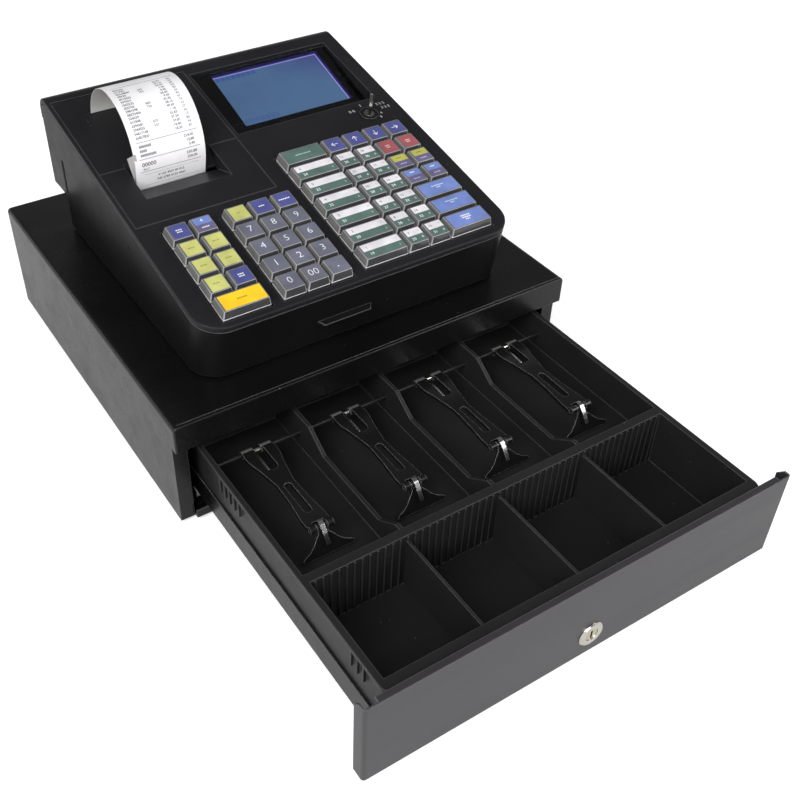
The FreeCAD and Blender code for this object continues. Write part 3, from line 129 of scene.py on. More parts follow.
def finish(name, colour=None, roughness=0.4, grain_scale=900.0, bump=0.00004, edge=0.0006,
           wear_and_highlight=0.25, wear_and_highlight_colour=(0.2, 0.2, 0.21), dust=0.25, metallic=0.0, coat=0.0,
           mottle=14.0, specular=0.5):
    """A material with the grain, edges painted lighter as rubbed wear and as a painted highlight,
    and a little dust.

    Without a colour it takes each face's own, from the mesh's tint.
    """
    made = bpy.data.materials.new(name)
    made.use_nodes = True
    tree = made.node_tree
    tree.nodes.clear()
    skin = wire(tree, "Group", node_tree=grain)
    skin.inputs["Grain"].default_value = grain_scale
    skin.inputs["Mottle"].default_value = mottle
    worn_and_highlit = wire(tree, "Group", node_tree=highlit_edges)
    worn_and_highlit.inputs["Radius"].default_value = edge
    worn_and_highlit.inputs["Wear_and_highlight"].default_value = wear_and_highlight
    if colour is None:
        plain = wire(tree, "Attribute", attribute_name="tint").outputs["Color"]
    else:
        plain = (*colour, 1.0)
    tinted = blended(tree, 1.0, plain, skin.outputs["Shade"], "MULTIPLY")
    # Edges take the edge colour: part rubbed wear, part painted highlight.
    edge_worn_and_highlit = blended(tree, worn_and_highlit.outputs["Mask"], tinted, (*wear_and_highlight_colour, 1.0))
    dusty = blended(tree, sums(tree, "MULTIPLY", skin.outputs["Dust"], dust), edge_worn_and_highlit,
                    (0.5, 0.49, 0.47, 1.0))
    bumped = wire(tree, "Bump", {"Height": skin.outputs["Height"], "Distance": bump,
                                 "Strength": 1.0, "Normal": worn_and_highlit.outputs["Normal"]})
    shader = wire(tree, "BsdfPrincipled", {
        "Base Color": dusty, "Roughness": sums(tree, "ADD", skin.outputs["Gloss"], roughness),
        "Metallic": metallic, "Specular IOR Level": specular, "Coat Weight": coat,
        "Coat Roughness": 0.08,
        "Normal": bumped.outputs["Normal"]})
    wire(tree, "OutputMaterial", {"Surface": shader.outputs[0]})
    return made


def dress(material, *names):
    """Gives CAD nodes a finish through their objects' material slots."""
    for name in names:
        for place in nodes[name].material_slots:
            place.link = "OBJECT"
            place.material = material


# The edge colour, far lighter than the paint, draws a painted highlight along every edge.
case_paint = finish("case_paint", (0.0048, 0.0045, 0.0050), 0.26, grain_scale=1400.0,
                    bump=0.00003, edge=0.0009, wear_and_highlight=0.8, wear_and_highlight_colour=(0.260, 0.256, 0.264),
                    specular=0.42)
dress(case_paint, "cabinet_shell", "cabinet_base")


def surface(name, points, faces, material, tints=None, crease=35.0):
    """A mesh object from points in metres, with a colour for each face if it has tints."""
    mesh = bpy.data.meshes.new(name)
    mesh.from_pydata(np.asarray(points, float).tolist(), [], faces)
    mesh.materials.append(material)
    if tints is not None:
        layer = mesh.attributes.new("tint", "FLOAT_COLOR", "FACE")
        layer.data.foreach_set("color", np.asarray(tints, float).ravel())
    mesh.polygons.foreach_set("use_smooth", [True] * len(mesh.polygons))
    mesh.set_sharp_from_angle(angle=math.radians(crease))
    made = bpy.data.objects.new(name, mesh)
    bpy.context.collection.objects.link(made)
    return made


def settle(piece, body, slot, *stands_for):
    """A piece rides on a body and stands for the CAD nodes that it replaces, which are hidden. Its
    slot is not used.
    """
    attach(piece, body)
    if stands_for:
        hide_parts(*stands_for)
    return piece


def bead_along(left, right, middle, base, radius, steps=8):
    """A half-round bead along x: y = middle - r cos t, z = base + r sin t."""
    turn = np.linspace(0.0, math.pi, steps + 1)
    section = [(middle - radius * math.cos(t), base + radius * math.sin(t)) for t in turn]
    points = [(x, y, z) for x in (left, right) for y, z in section]
    faces = [(k, k + steps + 1, k + steps + 2, k + 1) for k in range(steps)]
    faces.append(tuple(range(steps + 1)))
    faces.append(tuple(steps + 1 + k for k in reversed(range(steps + 1))))
    return points, faces


# The bead's two long edges take that painted highlight as two light lines.
shell_low, shell_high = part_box("cabinet_shell")
bead_end, bead_inset, bead_sunk = 0.004, 0.0027, 0.0001
bead_points, bead_faces = bead_along(
    left=shell_low[0] + bead_end, right=shell_high[0] - bead_end,
    middle=shell_low[1] + bead_inset, base=shell_high[2] - bead_sunk, radius=0.0004)
bead = surface("hem_bead", bead_points, bead_faces, case_paint)
settle(bead, "cabinet", "case_steel")

# ------------------------------------------------------------------ feet and screws
# Pushed-in feet of black rubber under the cabinet and the head, and zinc plated pan head
# screws that hold the base tray in the shell.

rubber = finish("foot_rubber", (0.015, 0.015, 0.015), 0.75, grain_scale=600.0, bump=0.00008)
zinc = finish("zinc_plate", (0.55, 0.55, 0.56), 0.32, grain_scale=500.0, bump=0.00002,
              metallic=1.0, wear_and_highlight=0.1, wear_and_highlight_colour=(0.7, 0.7, 0.7), dust=0.1)
dress(rubber, "rubber_feet", "platen_roller")
dress(zinc, "case_screws")

# ------------------------------------------------------------------ rails and latch
# Channels and brackets of black passivated steel, spot welded inside the cabinet, and the
# solenoid latch with its wound coil and its hook.

dark_steel = finish("dark_steel", (0.03, 0.03, 0.032), 0.4, grain_scale=500.0, bump=0.00003,
                    metallic=0.6, wear_and_highlight=0.3, wear_and_highlight_colour=(0.15, 0.15, 0.155), dust=0.4)
dress(dark_steel, "fixed_rails", "solenoid_latch", "latch_hook")

# ------------------------------------------------------------------ rollers
# Turned rollers of natural nylon, pressed onto their axles.

nylon = finish("nylon", (0.62, 0.60, 0.55), 0.45, grain_scale=700.0, bump=0.00002)
dress(nylon, "front_rollers", "rear_rollers")

# ------------------------------------------------------------------ drawer
# Folded steel pan with its runners, and the heavier front with a lock in the middle, painted
# like the cabinet.

# Its colour is the cabinet's paint made far lighter: painted light on the front's face. Its edge
# colour paints a highlight along each edge.
front_paint_lit = finish("front_paint_lit", (0.035, 0.032, 0.036), 0.34, grain_scale=1400.0,
                     bump=0.00003, edge=0.0012, wear_and_highlight=0.6, wear_and_highlight_colour=(0.26, 0.255, 0.265))
dress(front_paint_lit, "drawer_front")
dress(case_paint, "drawer_pan")

# ------------------------------------------------------------------ drawer lock
# Chromed die-cast barrel with a raised ring, and the brass plug with its keyway.

chrome = finish("chrome", (0.58, 0.56, 0.50), 0.18, grain_scale=300.0, bump=0.000004,
                metallic=1.0, wear_and_highlight=0.0, dust=0.05, edge=0.0003)
brass = finish("nickelled_brass", (0.55, 0.50, 0.38), 0.24, grain_scale=260.0, bump=0.00001,
               metallic=1.0, wear_and_highlight=0.2, wear_and_highlight_colour=(0.7, 0.62, 0.42), dust=0.1, edge=0.0003)
dress(chrome, "lock_barrel")
dress(brass, "lock_plug")

# ------------------------------------------------------------------ till
# Tray injection moulded in satin black plastic, with a row of fine ribs on the cross wall
# that keep coins from sticking to it, and thin coin dividers dropped into slots.

# Its edge colour paints the rims and rib tops lighter: a painted highlight.
till_plastic = finish("till_plastic", (0.017, 0.017, 0.018), 0.40, grain_scale=350.0,
                      bump=0.00002, edge=0.0011, wear_and_highlight=0.6, wear_and_highlight_colour=(0.15, 0.15, 0.16),
                      specular=0.28)
dress(till_plastic, "till_tray", "coin_dividers")


def ribs(count, pitch, radius, low, high, face, steps=6):
    """Upright half-round ribs on a wall that faces the front.

    Rib k stands at x = (k - (count - 1) / 2) pitch; its section is x + r cos t, y - r sin t.
    """
    turn = np.linspace(0.0, math.pi, steps + 1)
    points, faces = [], []
    for place in range(count):
        across = (place - (count - 1) / 2) * pitch
        base = len(points)
        for level in (low, high):
            for t in turn:
                points.append((across + radius * math.cos(t), face - radius * math.sin(t), level))
        for step in range(steps):
            a, b = base + step, base + step + steps + 1
            faces.append((a + 1, a, b, b + 1))
        faces.append(tuple(base + steps + 1 + step for step in reversed(range(steps + 1))))
        faces.append(tuple(base + step for step in range(steps + 1)))
    return points, faces


till_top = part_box("till_tray")[1][2]
divider_low, divider_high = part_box("coin_dividers")
rib_end, rib_sunk = 0.0004, 0.0002
rib_points, rib_faces = ribs(count=51, pitch=0.00572, radius=0.0008, low=divider_low[2],
                             high=till_top - rib_end, face=divider_high[1] - rib_sunk)
settle(surface("till_wall_ribs", rib_points, rib_faces, till_plastic), "till", "till_plastic")

# ------------------------------------------------------------------ bill clips
# The clips hang on one plated rod. Each is moulded in glossy black round two plated hinge
# sleeves, with a foot on a pin and a bright leaf spring along its window.

# The edge colours of the clips and their feet paint light lines along the edges: painted
# highlights.
clip_plastic = finish("clip_plastic", (0.008, 0.008, 0.0085), 0.16, grain_scale=350.0,
                      bump=0.00001, edge=0.0009, wear_and_highlight=0.7, wear_and_highlight_colour=(0.24, 0.24, 0.25))
sleeve_steel = finish("sleeve_steel", (0.32, 0.31, 0.30), 0.3, grain_scale=400.0,
                      bump=0.00001, metallic=0.7, wear_and_highlight=0.2, wear_and_highlight_colour=(0.5, 0.5, 0.5))
leaf_steel = finish("leaf_steel", (0.78, 0.77, 0.75), 0.2, grain_scale=400.0, bump=0.000006,
                    metallic=1.0, wear_and_highlight=0.1, dust=0.1)
foot_highlit_edge = finish("foot_plastic", (0.008, 0.008, 0.0085), 0.14, grain_scale=350.0,
                   bump=0.00001, edge=0.0008, wear_and_highlight=0.9, wear_and_highlight_colour=(0.35, 0.35, 0.36))
dress(dark_steel, "clip_rod")
dress(chrome, "clip_springs")
rod_low, rod_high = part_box("clip_rod")
rod_y, rod_z = (rod_low[1] + rod_high[1]) / 2, (rod_low[2] + rod_high[2]) / 2


def sweep(path, section):
    """A bar of one section along a path, with its ends closed.

    Point j of ring i is path_i + across * section_j0 + normal_i * section_j1, with the path in
    the plane x = constant and its normal turned a quarter from its direction.
    """
    path = np.asarray(path, float)
    along = np.gradient(path, axis=0)
    along /= np.linalg.norm(along, axis=1)[:, None]
    normal = np.stack([np.zeros(len(path)), -along[:, 2], along[:, 1]], axis=1)
    points, faces = [], []
    count = len(section)
    for spot, up in zip(path, normal):
        for across, high in section:
            points.append(spot + np.array([across, 0.0, 0.0]) + up * high)
    for ring in range(len(path) - 1):
        for step in range(count):
            a, b = ring * count + step, ring * count + (step + 1) % count
            faces.append((a, b, b + count, a + count))
    last = (len(path) - 1) * count
    faces.append(tuple(reversed(range(count))))
    faces.append(tuple(last + step for step in range(count)))
    return np.array(points), faces


def sleeve(left, right, across, up, bore, radius, steps=28):
    """A tube along x: y = across + r cos t and z = up + r sin t, with r = bore or radius."""
    corners = [(left, radius), (right, radius), (right, bore), (left, bore)]
    points, faces = [], []
    for step in range(steps):
        turn = 2.0 * math.pi * step / steps
        points += [(x, across + r * math.cos(turn), up + r * math.sin(turn)) for x, r in corners]
        a, b = 4 * step, 4 * ((step + 1) % steps)
        faces += [(a + k, b + k, b + (k + 1) % 4, a + (k + 1) % 4) for k in range(4)]
    return points, faces


def flat_bar(width, thick):
    """Section of a strip that lies with its lower face on the path."""
    return [(-width / 2, 0.0), (width / 2, 0.0), (width / 2, thick), (-width / 2, thick)]


# A clip's steel parts: the sleeves from the clip's middle outwards, the leaf that runs forward
# left of the middle with a slight bow, and the tongue's bends (y, z) from the foot's pin.
SLEEVE_NEAR, SLEEVE_FAR, SLEEVE_BORE, SLEEVE_RADIUS = 0.0031, 0.0117, 0.00262, 0.0029
LEAF_ASIDE, LEAF_START, LEAF_LENGTH, LEAF_RISE, LEAF_BOW = 0.0036, 0.003, 0.0225, 0.0037, 0.0006
PIN_REACH, PIN_RISE = 0.089, 0.003
TONGUE_BENDS = np.array([(0.0030, 0.0034), (0.0008, 0.0037), (-0.0016, 0.0032),
                         (-0.0054, -0.0008), (-0.0104, -0.0083)])

for number in range(1, 5):
    clip = f"bill_clip_{number}"
    low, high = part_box(clip)
    middle = (low[0] + high[0]) / 2
    dress(clip_plastic, clip)
    dress(foot_highlit_edge, f"clip_foot_{number}")
    for side, name in ((-1, "left"), (1, "right")):
        near, far = middle + side * SLEEVE_NEAR, middle + side * SLEEVE_FAR
        tube_points, tube_faces = sleeve(min(near, far), max(near, far), rod_y, rod_z,
                                         SLEEVE_BORE, SLEEVE_RADIUS)
        tube = surface(f"clip_{number}_sleeve_{name}", tube_points, tube_faces, sleeve_steel)
        settle(tube, f"clip_{number}", "bare_steel")
    leaf_path = [(middle - LEAF_ASIDE, rod_y - LEAF_START - LEAF_LENGTH * t,
                  rod_z + LEAF_RISE + LEAF_BOW * math.sin(math.pi * t))
                 for t in np.linspace(0.0, 1.0, 9)]
    leaf_points, leaf_faces = sweep(leaf_path, flat_bar(0.0014, 0.0004))
    settle(surface(f"clip_{number}_leaf", leaf_points, leaf_faces, leaf_steel),
           f"clip_{number}", "chrome")
    bend = np.arange(len(TONGUE_BENDS))
    run = np.linspace(0, len(TONGUE_BENDS) - 1, 17)
    tongue_y = rod_y - PIN_REACH + np.interp(run, bend, TONGUE_BENDS[:, 0])
    tongue_z = rod_z + PIN_RISE + np.interp(run, bend, TONGUE_BENDS[:, 1])
    tongue_path = [(middle, y, z) for y, z in zip(tongue_y, tongue_z)]
    tongue_points, tongue_faces = sweep(tongue_path, flat_bar(0.0034, 0.0005))
    settle(surface(f"clip_{number}_tongue", tongue_points, tongue_faces, leaf_steel),
           f"clip_foot_{number}", "chrome")

# ------------------------------------------------------------------ head
# Two moulded halves in charcoal plastic with a fine spark-eroded texture: a deep base, and a
# cover whose edge stands over a dark groove. A finger lip is moulded on the front.

# Their edge colours paint a light line along each edge and along the cover's seam: a painted
# highlight.
head_plastic = finish("head_plastic", (0.0150, 0.0150, 0.0172), 0.38, grain_scale=1500.0,
                      bump=0.00004, edge=0.0010, wear_and_highlight=0.7, wear_and_highlight_colour=(0.160, 0.158, 0.166),
                      specular=0.2)
base_plastic = finish("base_plastic", (0.0068, 0.0064, 0.0070), 0.30, grain_scale=1500.0,
                      bump=0.00003, edge=0.0010, wear_and_highlight=0.8, wear_and_highlight_colour=(0.220, 0.218, 0.224),
                      specular=0.12)
dress(head_plastic, "head_cover", "keyboard_plate", "printer_cover", "roll_cover")
dress(base_plastic, "head_base", "power_inlet")

SLOPE = math.radians(11.8)
PANEL = np.array([-1.0, -49.75, 144.5])


def on_panel(points):
    """Panel millimetres (u, v, w) as the part's metres: the panel slopes up to the rear.

    x = u - 1, y = v cos a - w sin a - 49.75, z = v sin a + w cos a + 144.5
    """
    u, v, w = np.asarray(points, float).T
    placed = np.stack([u, v * math.cos(SLOPE) - w * math.sin(SLOPE),
                       v * math.sin(SLOPE) + w * math.cos(SLOPE)], axis=1)
    return (placed + PANEL) / 1000.0


lip_points = on_panel([
    (-41, 19.6, -27.0), (4, 19.6, -27.0), (1, 14.8, -28.2), (-38, 14.8, -28.2),
    (-41, 19.6, -29.8), (4, 19.6, -29.8), (1, 14.8, -29.2), (-38, 14.8, -29.2)])
lip_faces = [(0, 3, 2, 1), (4, 5, 6, 7), (3, 7, 6, 2), (0, 4, 7, 3), (1, 2, 6, 5), (0, 1, 5, 4)]
settle(surface("head_finger_lip", lip_points, lip_faces, base_plastic, crease=20.0), "cabinet",
       "head_plastic")

# ------------------------------------------------------------------ side slot
# The upright slot low on the head's left wall, towards the rear. It is laid on the wall as a black
# strip 0.15 mm thick with a round upper end, painted shade for the slot's inside, because the wall
# itself isn't cut.

slot_painted_shade = finish("slot_painted_shade", (0.002, 0.002, 0.002), 0.6, specular=0.1, bump=0.000005, wear_and_highlight=0.0,
                    dust=0.0)


def strip_on_wall(wall, proud, middle, half_width, low, high, steps=8):
    """A strip along z on a wall that faces -x, with a half circle at its upper end.

    Its outline is y = middle + half_width cos t, z = high + half_width sin t, closed at low.
    """
    outline = [(middle + half_width, low)]
    for step in range(steps + 1):
        turn = math.pi * step / steps
        outline.append((middle + half_width * math.cos(turn), high + half_width * math.sin(turn)))
    outline.append((middle - half_width, low))
    count = len(outline)
    points = [(x, y, z) for x in (wall, wall - proud) for y, z in outline]
    faces = [tuple(range(count)), tuple(reversed(range(count, 2 * count)))]
    faces += [(k, k + count, (k + 1) % count + count, (k + 1) % count) for k in range(count)]
    return points, faces


wall_sunk = 0.00001
slot_points, slot_faces = strip_on_wall(
    wall=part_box("head_base")[0][0] + wall_sunk, proud=0.00015, middle=0.2217,
    half_width=0.0022, low=0.1330, high=0.1600)
settle(surface("head_side_slot", slot_points, slot_faces, slot_painted_shade, crease=20.0), "cabinet",
       "head_plastic")

# ------------------------------------------------------------------ display
# Blue backlit display under a clear window that lies in a sloping well of the cover. A black
# mask is printed under the window's border.

window = finish("display_glass", (0.96, 0.97, 1.0), 0.03, bump=0.000001, wear_and_highlight=0.0, dust=0.0)
smoked = finish("smoked_window", (0.01, 0.01, 0.012), 0.06, bump=0.000001, wear_and_highlight=0.0)
clear = next(made for made in window.node_tree.nodes if made.type == "BSDF_PRINCIPLED")
clear.inputs["Transmission Weight"].default_value = 1.0
clear.inputs["IOR"].default_value = 1.3
dress(window, "display_window")
dress(smoked, "customer_window")

WELL_TILT = math.radians(5.7)


def in_well(points):
    """Millimetres on the display's own plane, from the well's front edge, as metres.

    v = 201.5 + b cos t - c sin t, w = -11.9 + b sin t + c cos t, then the panel's slope.
    """
    a, b, c = np.asarray(points, float).T
    return on_panel(np.stack([a, 201.5 + b * math.cos(WELL_TILT) - c * math.sin(WELL_TILT),
                              -11.9 + b * math.sin(WELL_TILT) + c * math.cos(WELL_TILT)], axis=1))


def frame_faces(count):
    """Quads between an outer loop and the inner loop of as many points that follows it."""
    return [(k, (k + 1) % count, count + (k + 1) % count, count + k) for k in range(count)]


def rounded(left, right, front, rear, radius, steps=5):
    """A rectangle with round corners, as points counted against the clock."""
    loop = []
    corners = [(right - radius, front + radius, -90), (right - radius, rear - radius, 0),
               (left + radius, rear - radius, 90), (left + radius, front + radius, 180)]
    for across, deep, start in corners:
        for step in range(steps + 1):
            turn = math.radians(start + 90.0 * step / steps)
            loop.append((across + radius * math.cos(turn), deep + radius * math.sin(turn)))
    return loop


# The lit field's left, right, front and rear edges in the well.
LCD = (6.3, 108.2, 16.6, 81.2)
outer_loop = rounded(left=-10.6, right=117.6, front=0.4, rear=83.4, radius=1.0)
inner_loop = rounded(*LCD, radius=1.2)
mask_up, screen_up = 0.25, 0.1
mask_points = in_well([(a, b, mask_up) for a, b in outer_loop + inner_loop])
ink_black = finish("ink_black", (0.003, 0.003, 0.0035), 0.25, bump=0.000002, wear_and_highlight=0.0, dust=0.0)
settle(surface("display_mask", mask_points, frame_faces(len(outer_loop)), ink_black), "cabinet",
       "smoked_window")


def either(tree, first, second):
    """Whichever of two signals is the stronger."""
    return sums(tree, "MAXIMUM", first, second)


def lcd_glow():
    """The lit display over its UV: a blue field, marks in cells and a bright violet rim.

    The blue turns to violet towards the far corner. Outside the rim the light fades away.
    """
    made = bpy.data.materials.new("lcd_glow")
    made.use_nodes = True
    tree = made.node_tree
    tree.nodes.clear()
    spot = wire(tree, "SeparateXYZ", {0: wire(tree, "UVMap").outputs["UV"]})
    across, deep = spot.outputs["X"], spot.outputs["Y"]
    corner = ramped(tree, sums(tree, "MULTIPLY", across, deep), 0.35, 0.95)
    field = blended(tree, corner, (0.075, 0.150, 0.285, 1.0), (0.056, 0.068, 0.225, 1.0))

    # Marks stand in the cells above the eighth row, and in the lowest row.
    columns, rows = 21.0, 9.7
    cell_x = sums(tree, "FRACT", sums(tree, "MULTIPLY", across, columns))
    cell_y = sums(tree, "FRACT", sums(tree, "MULTIPLY", deep, rows))
    in_cell = sums(tree, "MULTIPLY", sums(tree, "GREATER_THAN", cell_x, 0.22),
                   sums(tree, "GREATER_THAN", cell_y, 0.25))
    top_row = sums(tree, "MULTIPLY", sums(tree, "GREATER_THAN", deep, 8.0 / rows),
                   sums(tree, "MULTIPLY", sums(tree, "LESS_THAN", across, 0.38), 0.9))
    low_row = sums(tree, "MULTIPLY", sums(tree, "LESS_THAN", deep, 1.0 / rows),
                   sums(tree, "MULTIPLY", sums(tree, "LESS_THAN", across, 0.32), 0.5))
    marked = sums(tree, "MULTIPLY", in_cell, sums(tree, "ADD", top_row, low_row))
    shown = blended(tree, sums(tree, "MULTIPLY", marked, 0.7), field, (0.030, 0.060, 0.260, 1.0))

    rim = either(tree, ramped(tree, across, 0.962, 0.966), ramped(tree, deep, 0.924, 0.930))
    rimmed = blended(tree, rim, shown, (0.42, 0.38, 0.80, 1.0))
    past = either(tree, ramped(tree, across, 0.969, 0.974), ramped(tree, deep, 0.936, 0.943))
    haloed = blended(tree, past, rimmed, (0.034, 0.015, 0.32, 1.0))
    far = either(tree, ramped(tree, across, 0.972, 0.992), ramped(tree, deep, 0.939, 0.972))
    light = blended(tree, far, haloed, (0.004, 0.003, 0.03, 1.0))
    shader = wire(tree, "BsdfPrincipled", {
        "Base Color": (0.01, 0.015, 0.03, 1.0), "Roughness": 0.3, "Emission Color": light,
        "Emission Strength": 0.9})
    wire(tree, "OutputMaterial", {"Surface": shader.outputs[0]})
    return made


def laid_uv(piece, left, right, front, rear, flat):
    """UV of each corner: its place between two pairs of edges, from flat coordinates."""
    layer = piece.data.uv_layers.new(name="UVMap")
    corners = np.empty(len(piece.data.loops), int)
    piece.data.loops.foreach_get("vertex_index", corners)
    flat = np.asarray(flat, float)[corners]
    share = np.stack([(flat[:, 0] - left) / (right - left),
                      (flat[:, 1] - front) / (rear - front)], axis=1)
    layer.data.foreach_set("uv", share.ravel())


pad = 1.5
screen_flat = [(LCD[0] - pad, LCD[2] - pad), (LCD[1] + pad, LCD[2] - pad),
               (LCD[1] + pad, LCD[3] + pad), (LCD[0] - pad, LCD[3] + pad)]
screen = surface("display_screen", in_well([(a, b, screen_up) for a, b in screen_flat]),
                 [(0, 1, 2, 3)], lcd_glow())
laid_uv(screen, *LCD, screen_flat)
settle(screen, "cabinet", "lcd")
dress(ink_black, "lcd_panel")

# ------------------------------------------------------------------ receipt and roll
# Thermal paper 57.5 mm wide, from the roll over the platen and out through the cover's slot. A
# till receipt is printed on it, here with item numbers and sums only.

paper = finish("thermal_paper", None, 0.55, grain_scale=1500.0, bump=0.00001, wear_and_highlight=0.0,
               dust=0.0, edge=0.0001)
roll_paper = finish("roll_paper", (0.80, 0.79, 0.80), 0.6, grain_scale=900.0, bump=0.00002,
                    wear_and_highlight=0.0, dust=0.0)
dress(roll_paper, "paper_roll")

LOOP, LOOP_FOOT, PAPER_LINE, STRAIGHT = 42.0, 0.6, 184.0, 14.0
PAPER_LEFT, PAPER_RIGHT = -105.05, -47.55


def on_receipt(points):
    """Millimetres along and across the paper, and off its face, as metres.

    Below s = 0 the paper stands straight; above it runs round a half circle:
    v = 226 - (42 + h) cos(s / 42), w = 0.6 + (42 + h) sin(s / 42).
    """
    u, s, h = np.asarray(points, float).T
    turn = np.maximum(s, 0.0) / LOOP
    v = PAPER_LINE + LOOP - (LOOP + h) * np.cos(turn)
    w = LOOP_FOOT + (LOOP + h) * np.sin(turn) + np.minimum(s, 0.0)
    return on_panel(np.stack([u, v, w], axis=1))


def text_shape(text, size, weight=0.0):
    """The outline of a line of figures, filled: flat points round its middle, and faces."""
    data = bpy.data.curves.new("figures", "FONT")
    data.body = text
    data.size = size
    data.offset = weight
    data.align_x = "CENTER"
    data.align_y = "CENTER"
    data.resolution_u = 2
    shown = bpy.data.objects.new("figures", data)
    bpy.context.collection.objects.link(shown)
    graph = bpy.context.evaluated_depsgraph_get()
    mesh = bpy.data.meshes.new_from_object(shown.evaluated_get(graph))
    points = np.empty(len(mesh.vertices) * 3)
    mesh.vertices.foreach_get("co", points)
    points = points.reshape(-1, 3)[:, :2].copy()
    faces = []
    for polygon in mesh.polygons:
        loop = list(polygon.vertices)
        faces.append(tuple(loop if polygon.normal.z > 0 else reversed(loop)))
    bpy.data.objects.remove(shown)
    bpy.data.curves.remove(data)
    bpy.data.meshes.remove(mesh)
    return points, faces


class Build:
    """Points, faces and tints of one piece, gathered from several shapes."""

    def __init__(self):
        self.points, self.faces, self.tints = [], [], []

    def add(self, points, faces, tint):
        """Adds a shape with one tint, or with one for each face."""
        base = len(self.points)
        self.points.extend(np.asarray(points, float).tolist())
        self.faces.extend(tuple(base + k for k in face) for face in faces)
        tints = tint if isinstance(tint, list) else [tint] * len(faces)
        self.tints.extend((*one, 1.0) for one in tints)


sheet = Build()
steps = np.concatenate([np.linspace(-STRAIGHT, 0.0, 4)[:-1],
                        np.linspace(0.0, math.pi * LOOP, 61)])
strips = np.linspace(PAPER_LEFT, PAPER_RIGHT, 5)
rows, columns = len(steps), len(strips)
for thick, white in ((0.0, (0.93, 0.915, 0.935)), (-0.25, (0.74, 0.73, 0.70))):
    grid = [(u, s, thick) for s in steps for u in strips]
    quads = []
    for row in range(rows - 1):
        for column in range(columns - 1):
            a = row * columns + column
            quad = (a, a + 1, a + columns + 1, a + columns)
            quads.append(quad if thick == 0.0 else tuple(reversed(quad)))
    sheet.add(on_receipt(grid), quads, white)

# The paper's edges join its face to its back, whose points follow the face's.
back = rows * columns
rims = []
for column in (0, columns - 1):
    for row in range(rows - 1):
        a, b = row * columns + column, (row + 1) * columns + column
        quad = (a, b, b + back, a + back)
        rims.append(quad if column == 0 else tuple(reversed(quad)))
for row in (0, rows - 1):
    for a in range(row * columns, (row + 1) * columns - 1):
        quad = (a, a + 1, back + a + 1, back + a)
        rims.append(tuple(reversed(quad)) if row == 0 else quad)
sheet.faces.extend(rims)
sheet.tints.extend([(0.8, 0.8, 0.8, 1.0)] * len(rims))

INK, PALE, PRINT_UP = (0.13, 0.13, 0.16), (0.26, 0.26, 0.30), 0.05


def printed(text, u, s, size, ink, edge="left"):
    """Figures printed on the receipt with their left or right edge, or middle, at u."""
    flat, faces = text_shape(text, size, weight=0.07)
    shift = {"left": -flat[:, 0].min(), "right": -flat[:, 0].max(), "middle": 0.0}[edge]
    points = [(u + shift + x, s + y, PRINT_UP) for x, y in flat]
    sheet.add(on_receipt(points), faces, ink)


def ruled(left, right, s, thick, ink):
    """A line printed across the receipt."""
    spots = np.linspace(left, right, columns)
    points = [(u, s + side * thick / 2, PRINT_UP) for side in (-1, 1) for u in spots]
    quads = [(k, k + 1, k + columns + 1, k + columns) for k in range(columns - 1)]
    sheet.add(on_receipt(points), quads, ink)


chance = np.random.default_rng(7)
left_edge, right_edge = PAPER_LEFT + 5.0, PAPER_RIGHT - 5.0
first_line, line_gap = 28.6, 2.95
for line in range(16):
    s = first_line + line_gap * line
    code = "".join(str(d) for d in chance.integers(0, 10, int(chance.integers(5, 9))))
    printed(code, left_edge, s, 2.7, INK)
    if line % 5 in (2, 3):
        printed(str(chance.integers(100, 999)), left_edge + 17.0, s, 2.7, PALE)
    printed(f"{chance.integers(1, 60)}.{chance.integers(10, 99)}", right_edge - 10.0, s, 2.7,
            INK, "right")
    printed(str(chance.integers(10, 99)), right_edge - 2.0, s, 2.7, PALE, "right")
for line, (digits, amount) in enumerate(((7, "214.60"), (4, "12.88"), (9, "3.40"))):
    s = 22.0 - 3.3 * line
    printed("8" * digits, left_edge + 0.5, s, 2.8, INK)
    printed(amount, right_edge - 3.0, s, 2.8, INK, "right")
printed("00000", left_edge + 0.5, 8.0, 4.6, (0.08, 0.08, 0.1))
printed("230.88", right_edge - 2.0, 9.0, 3.2, INK, "right")
printed("250.00", right_edge - 2.0, 5.4, 3.0, INK, "right")
printed("4417", left_edge + 1.0, 4.2, 2.6, PALE)
for text, s in (("0 123 4567 89 012", -3.6), ("345 6789 0123 4567", -7.4)):
    printed(text, (PAPER_LEFT + PAPER_RIGHT) / 2, s, 2.8, INK, "middle")
for s in (25.2, 12.6, 2.2, 76.6):
    ruled(left_edge - 1.0, right_edge + 1.0, s, 0.45, PALE)
for s in (-0.6, -10.6):
    ruled(left_edge + 2.0, right_edge - 1.0, s, 0.25, PALE)
receipt = surface("receipt", sheet.points, sheet.faces, paper, sheet.tints, crease=40.0)
settle(receipt, "roll_lid", "paper", "receipt_paper")

# A torn end of paper behind the left edge of the receipt's foot, painted grey as the shade it lies
# in.
torn = on_panel([(-110.3, 187.0, 16.5), (-104.0, 186.0, 19.5), (-100.0, 185.0, -9.5),
                 (-104.6, 185.6, -9.5)])
settle(surface("receipt_torn_end", torn, [(0, 3, 2, 1)], paper, [(0.50, 0.49, 0.49, 1.0)]),
       "roll_lid", "paper")

# ------------------------------------------------------------------ mode lock
# Blackened ring round a small lock, with its flat steel key left in it, and the positions
# printed round it as plain numbers.

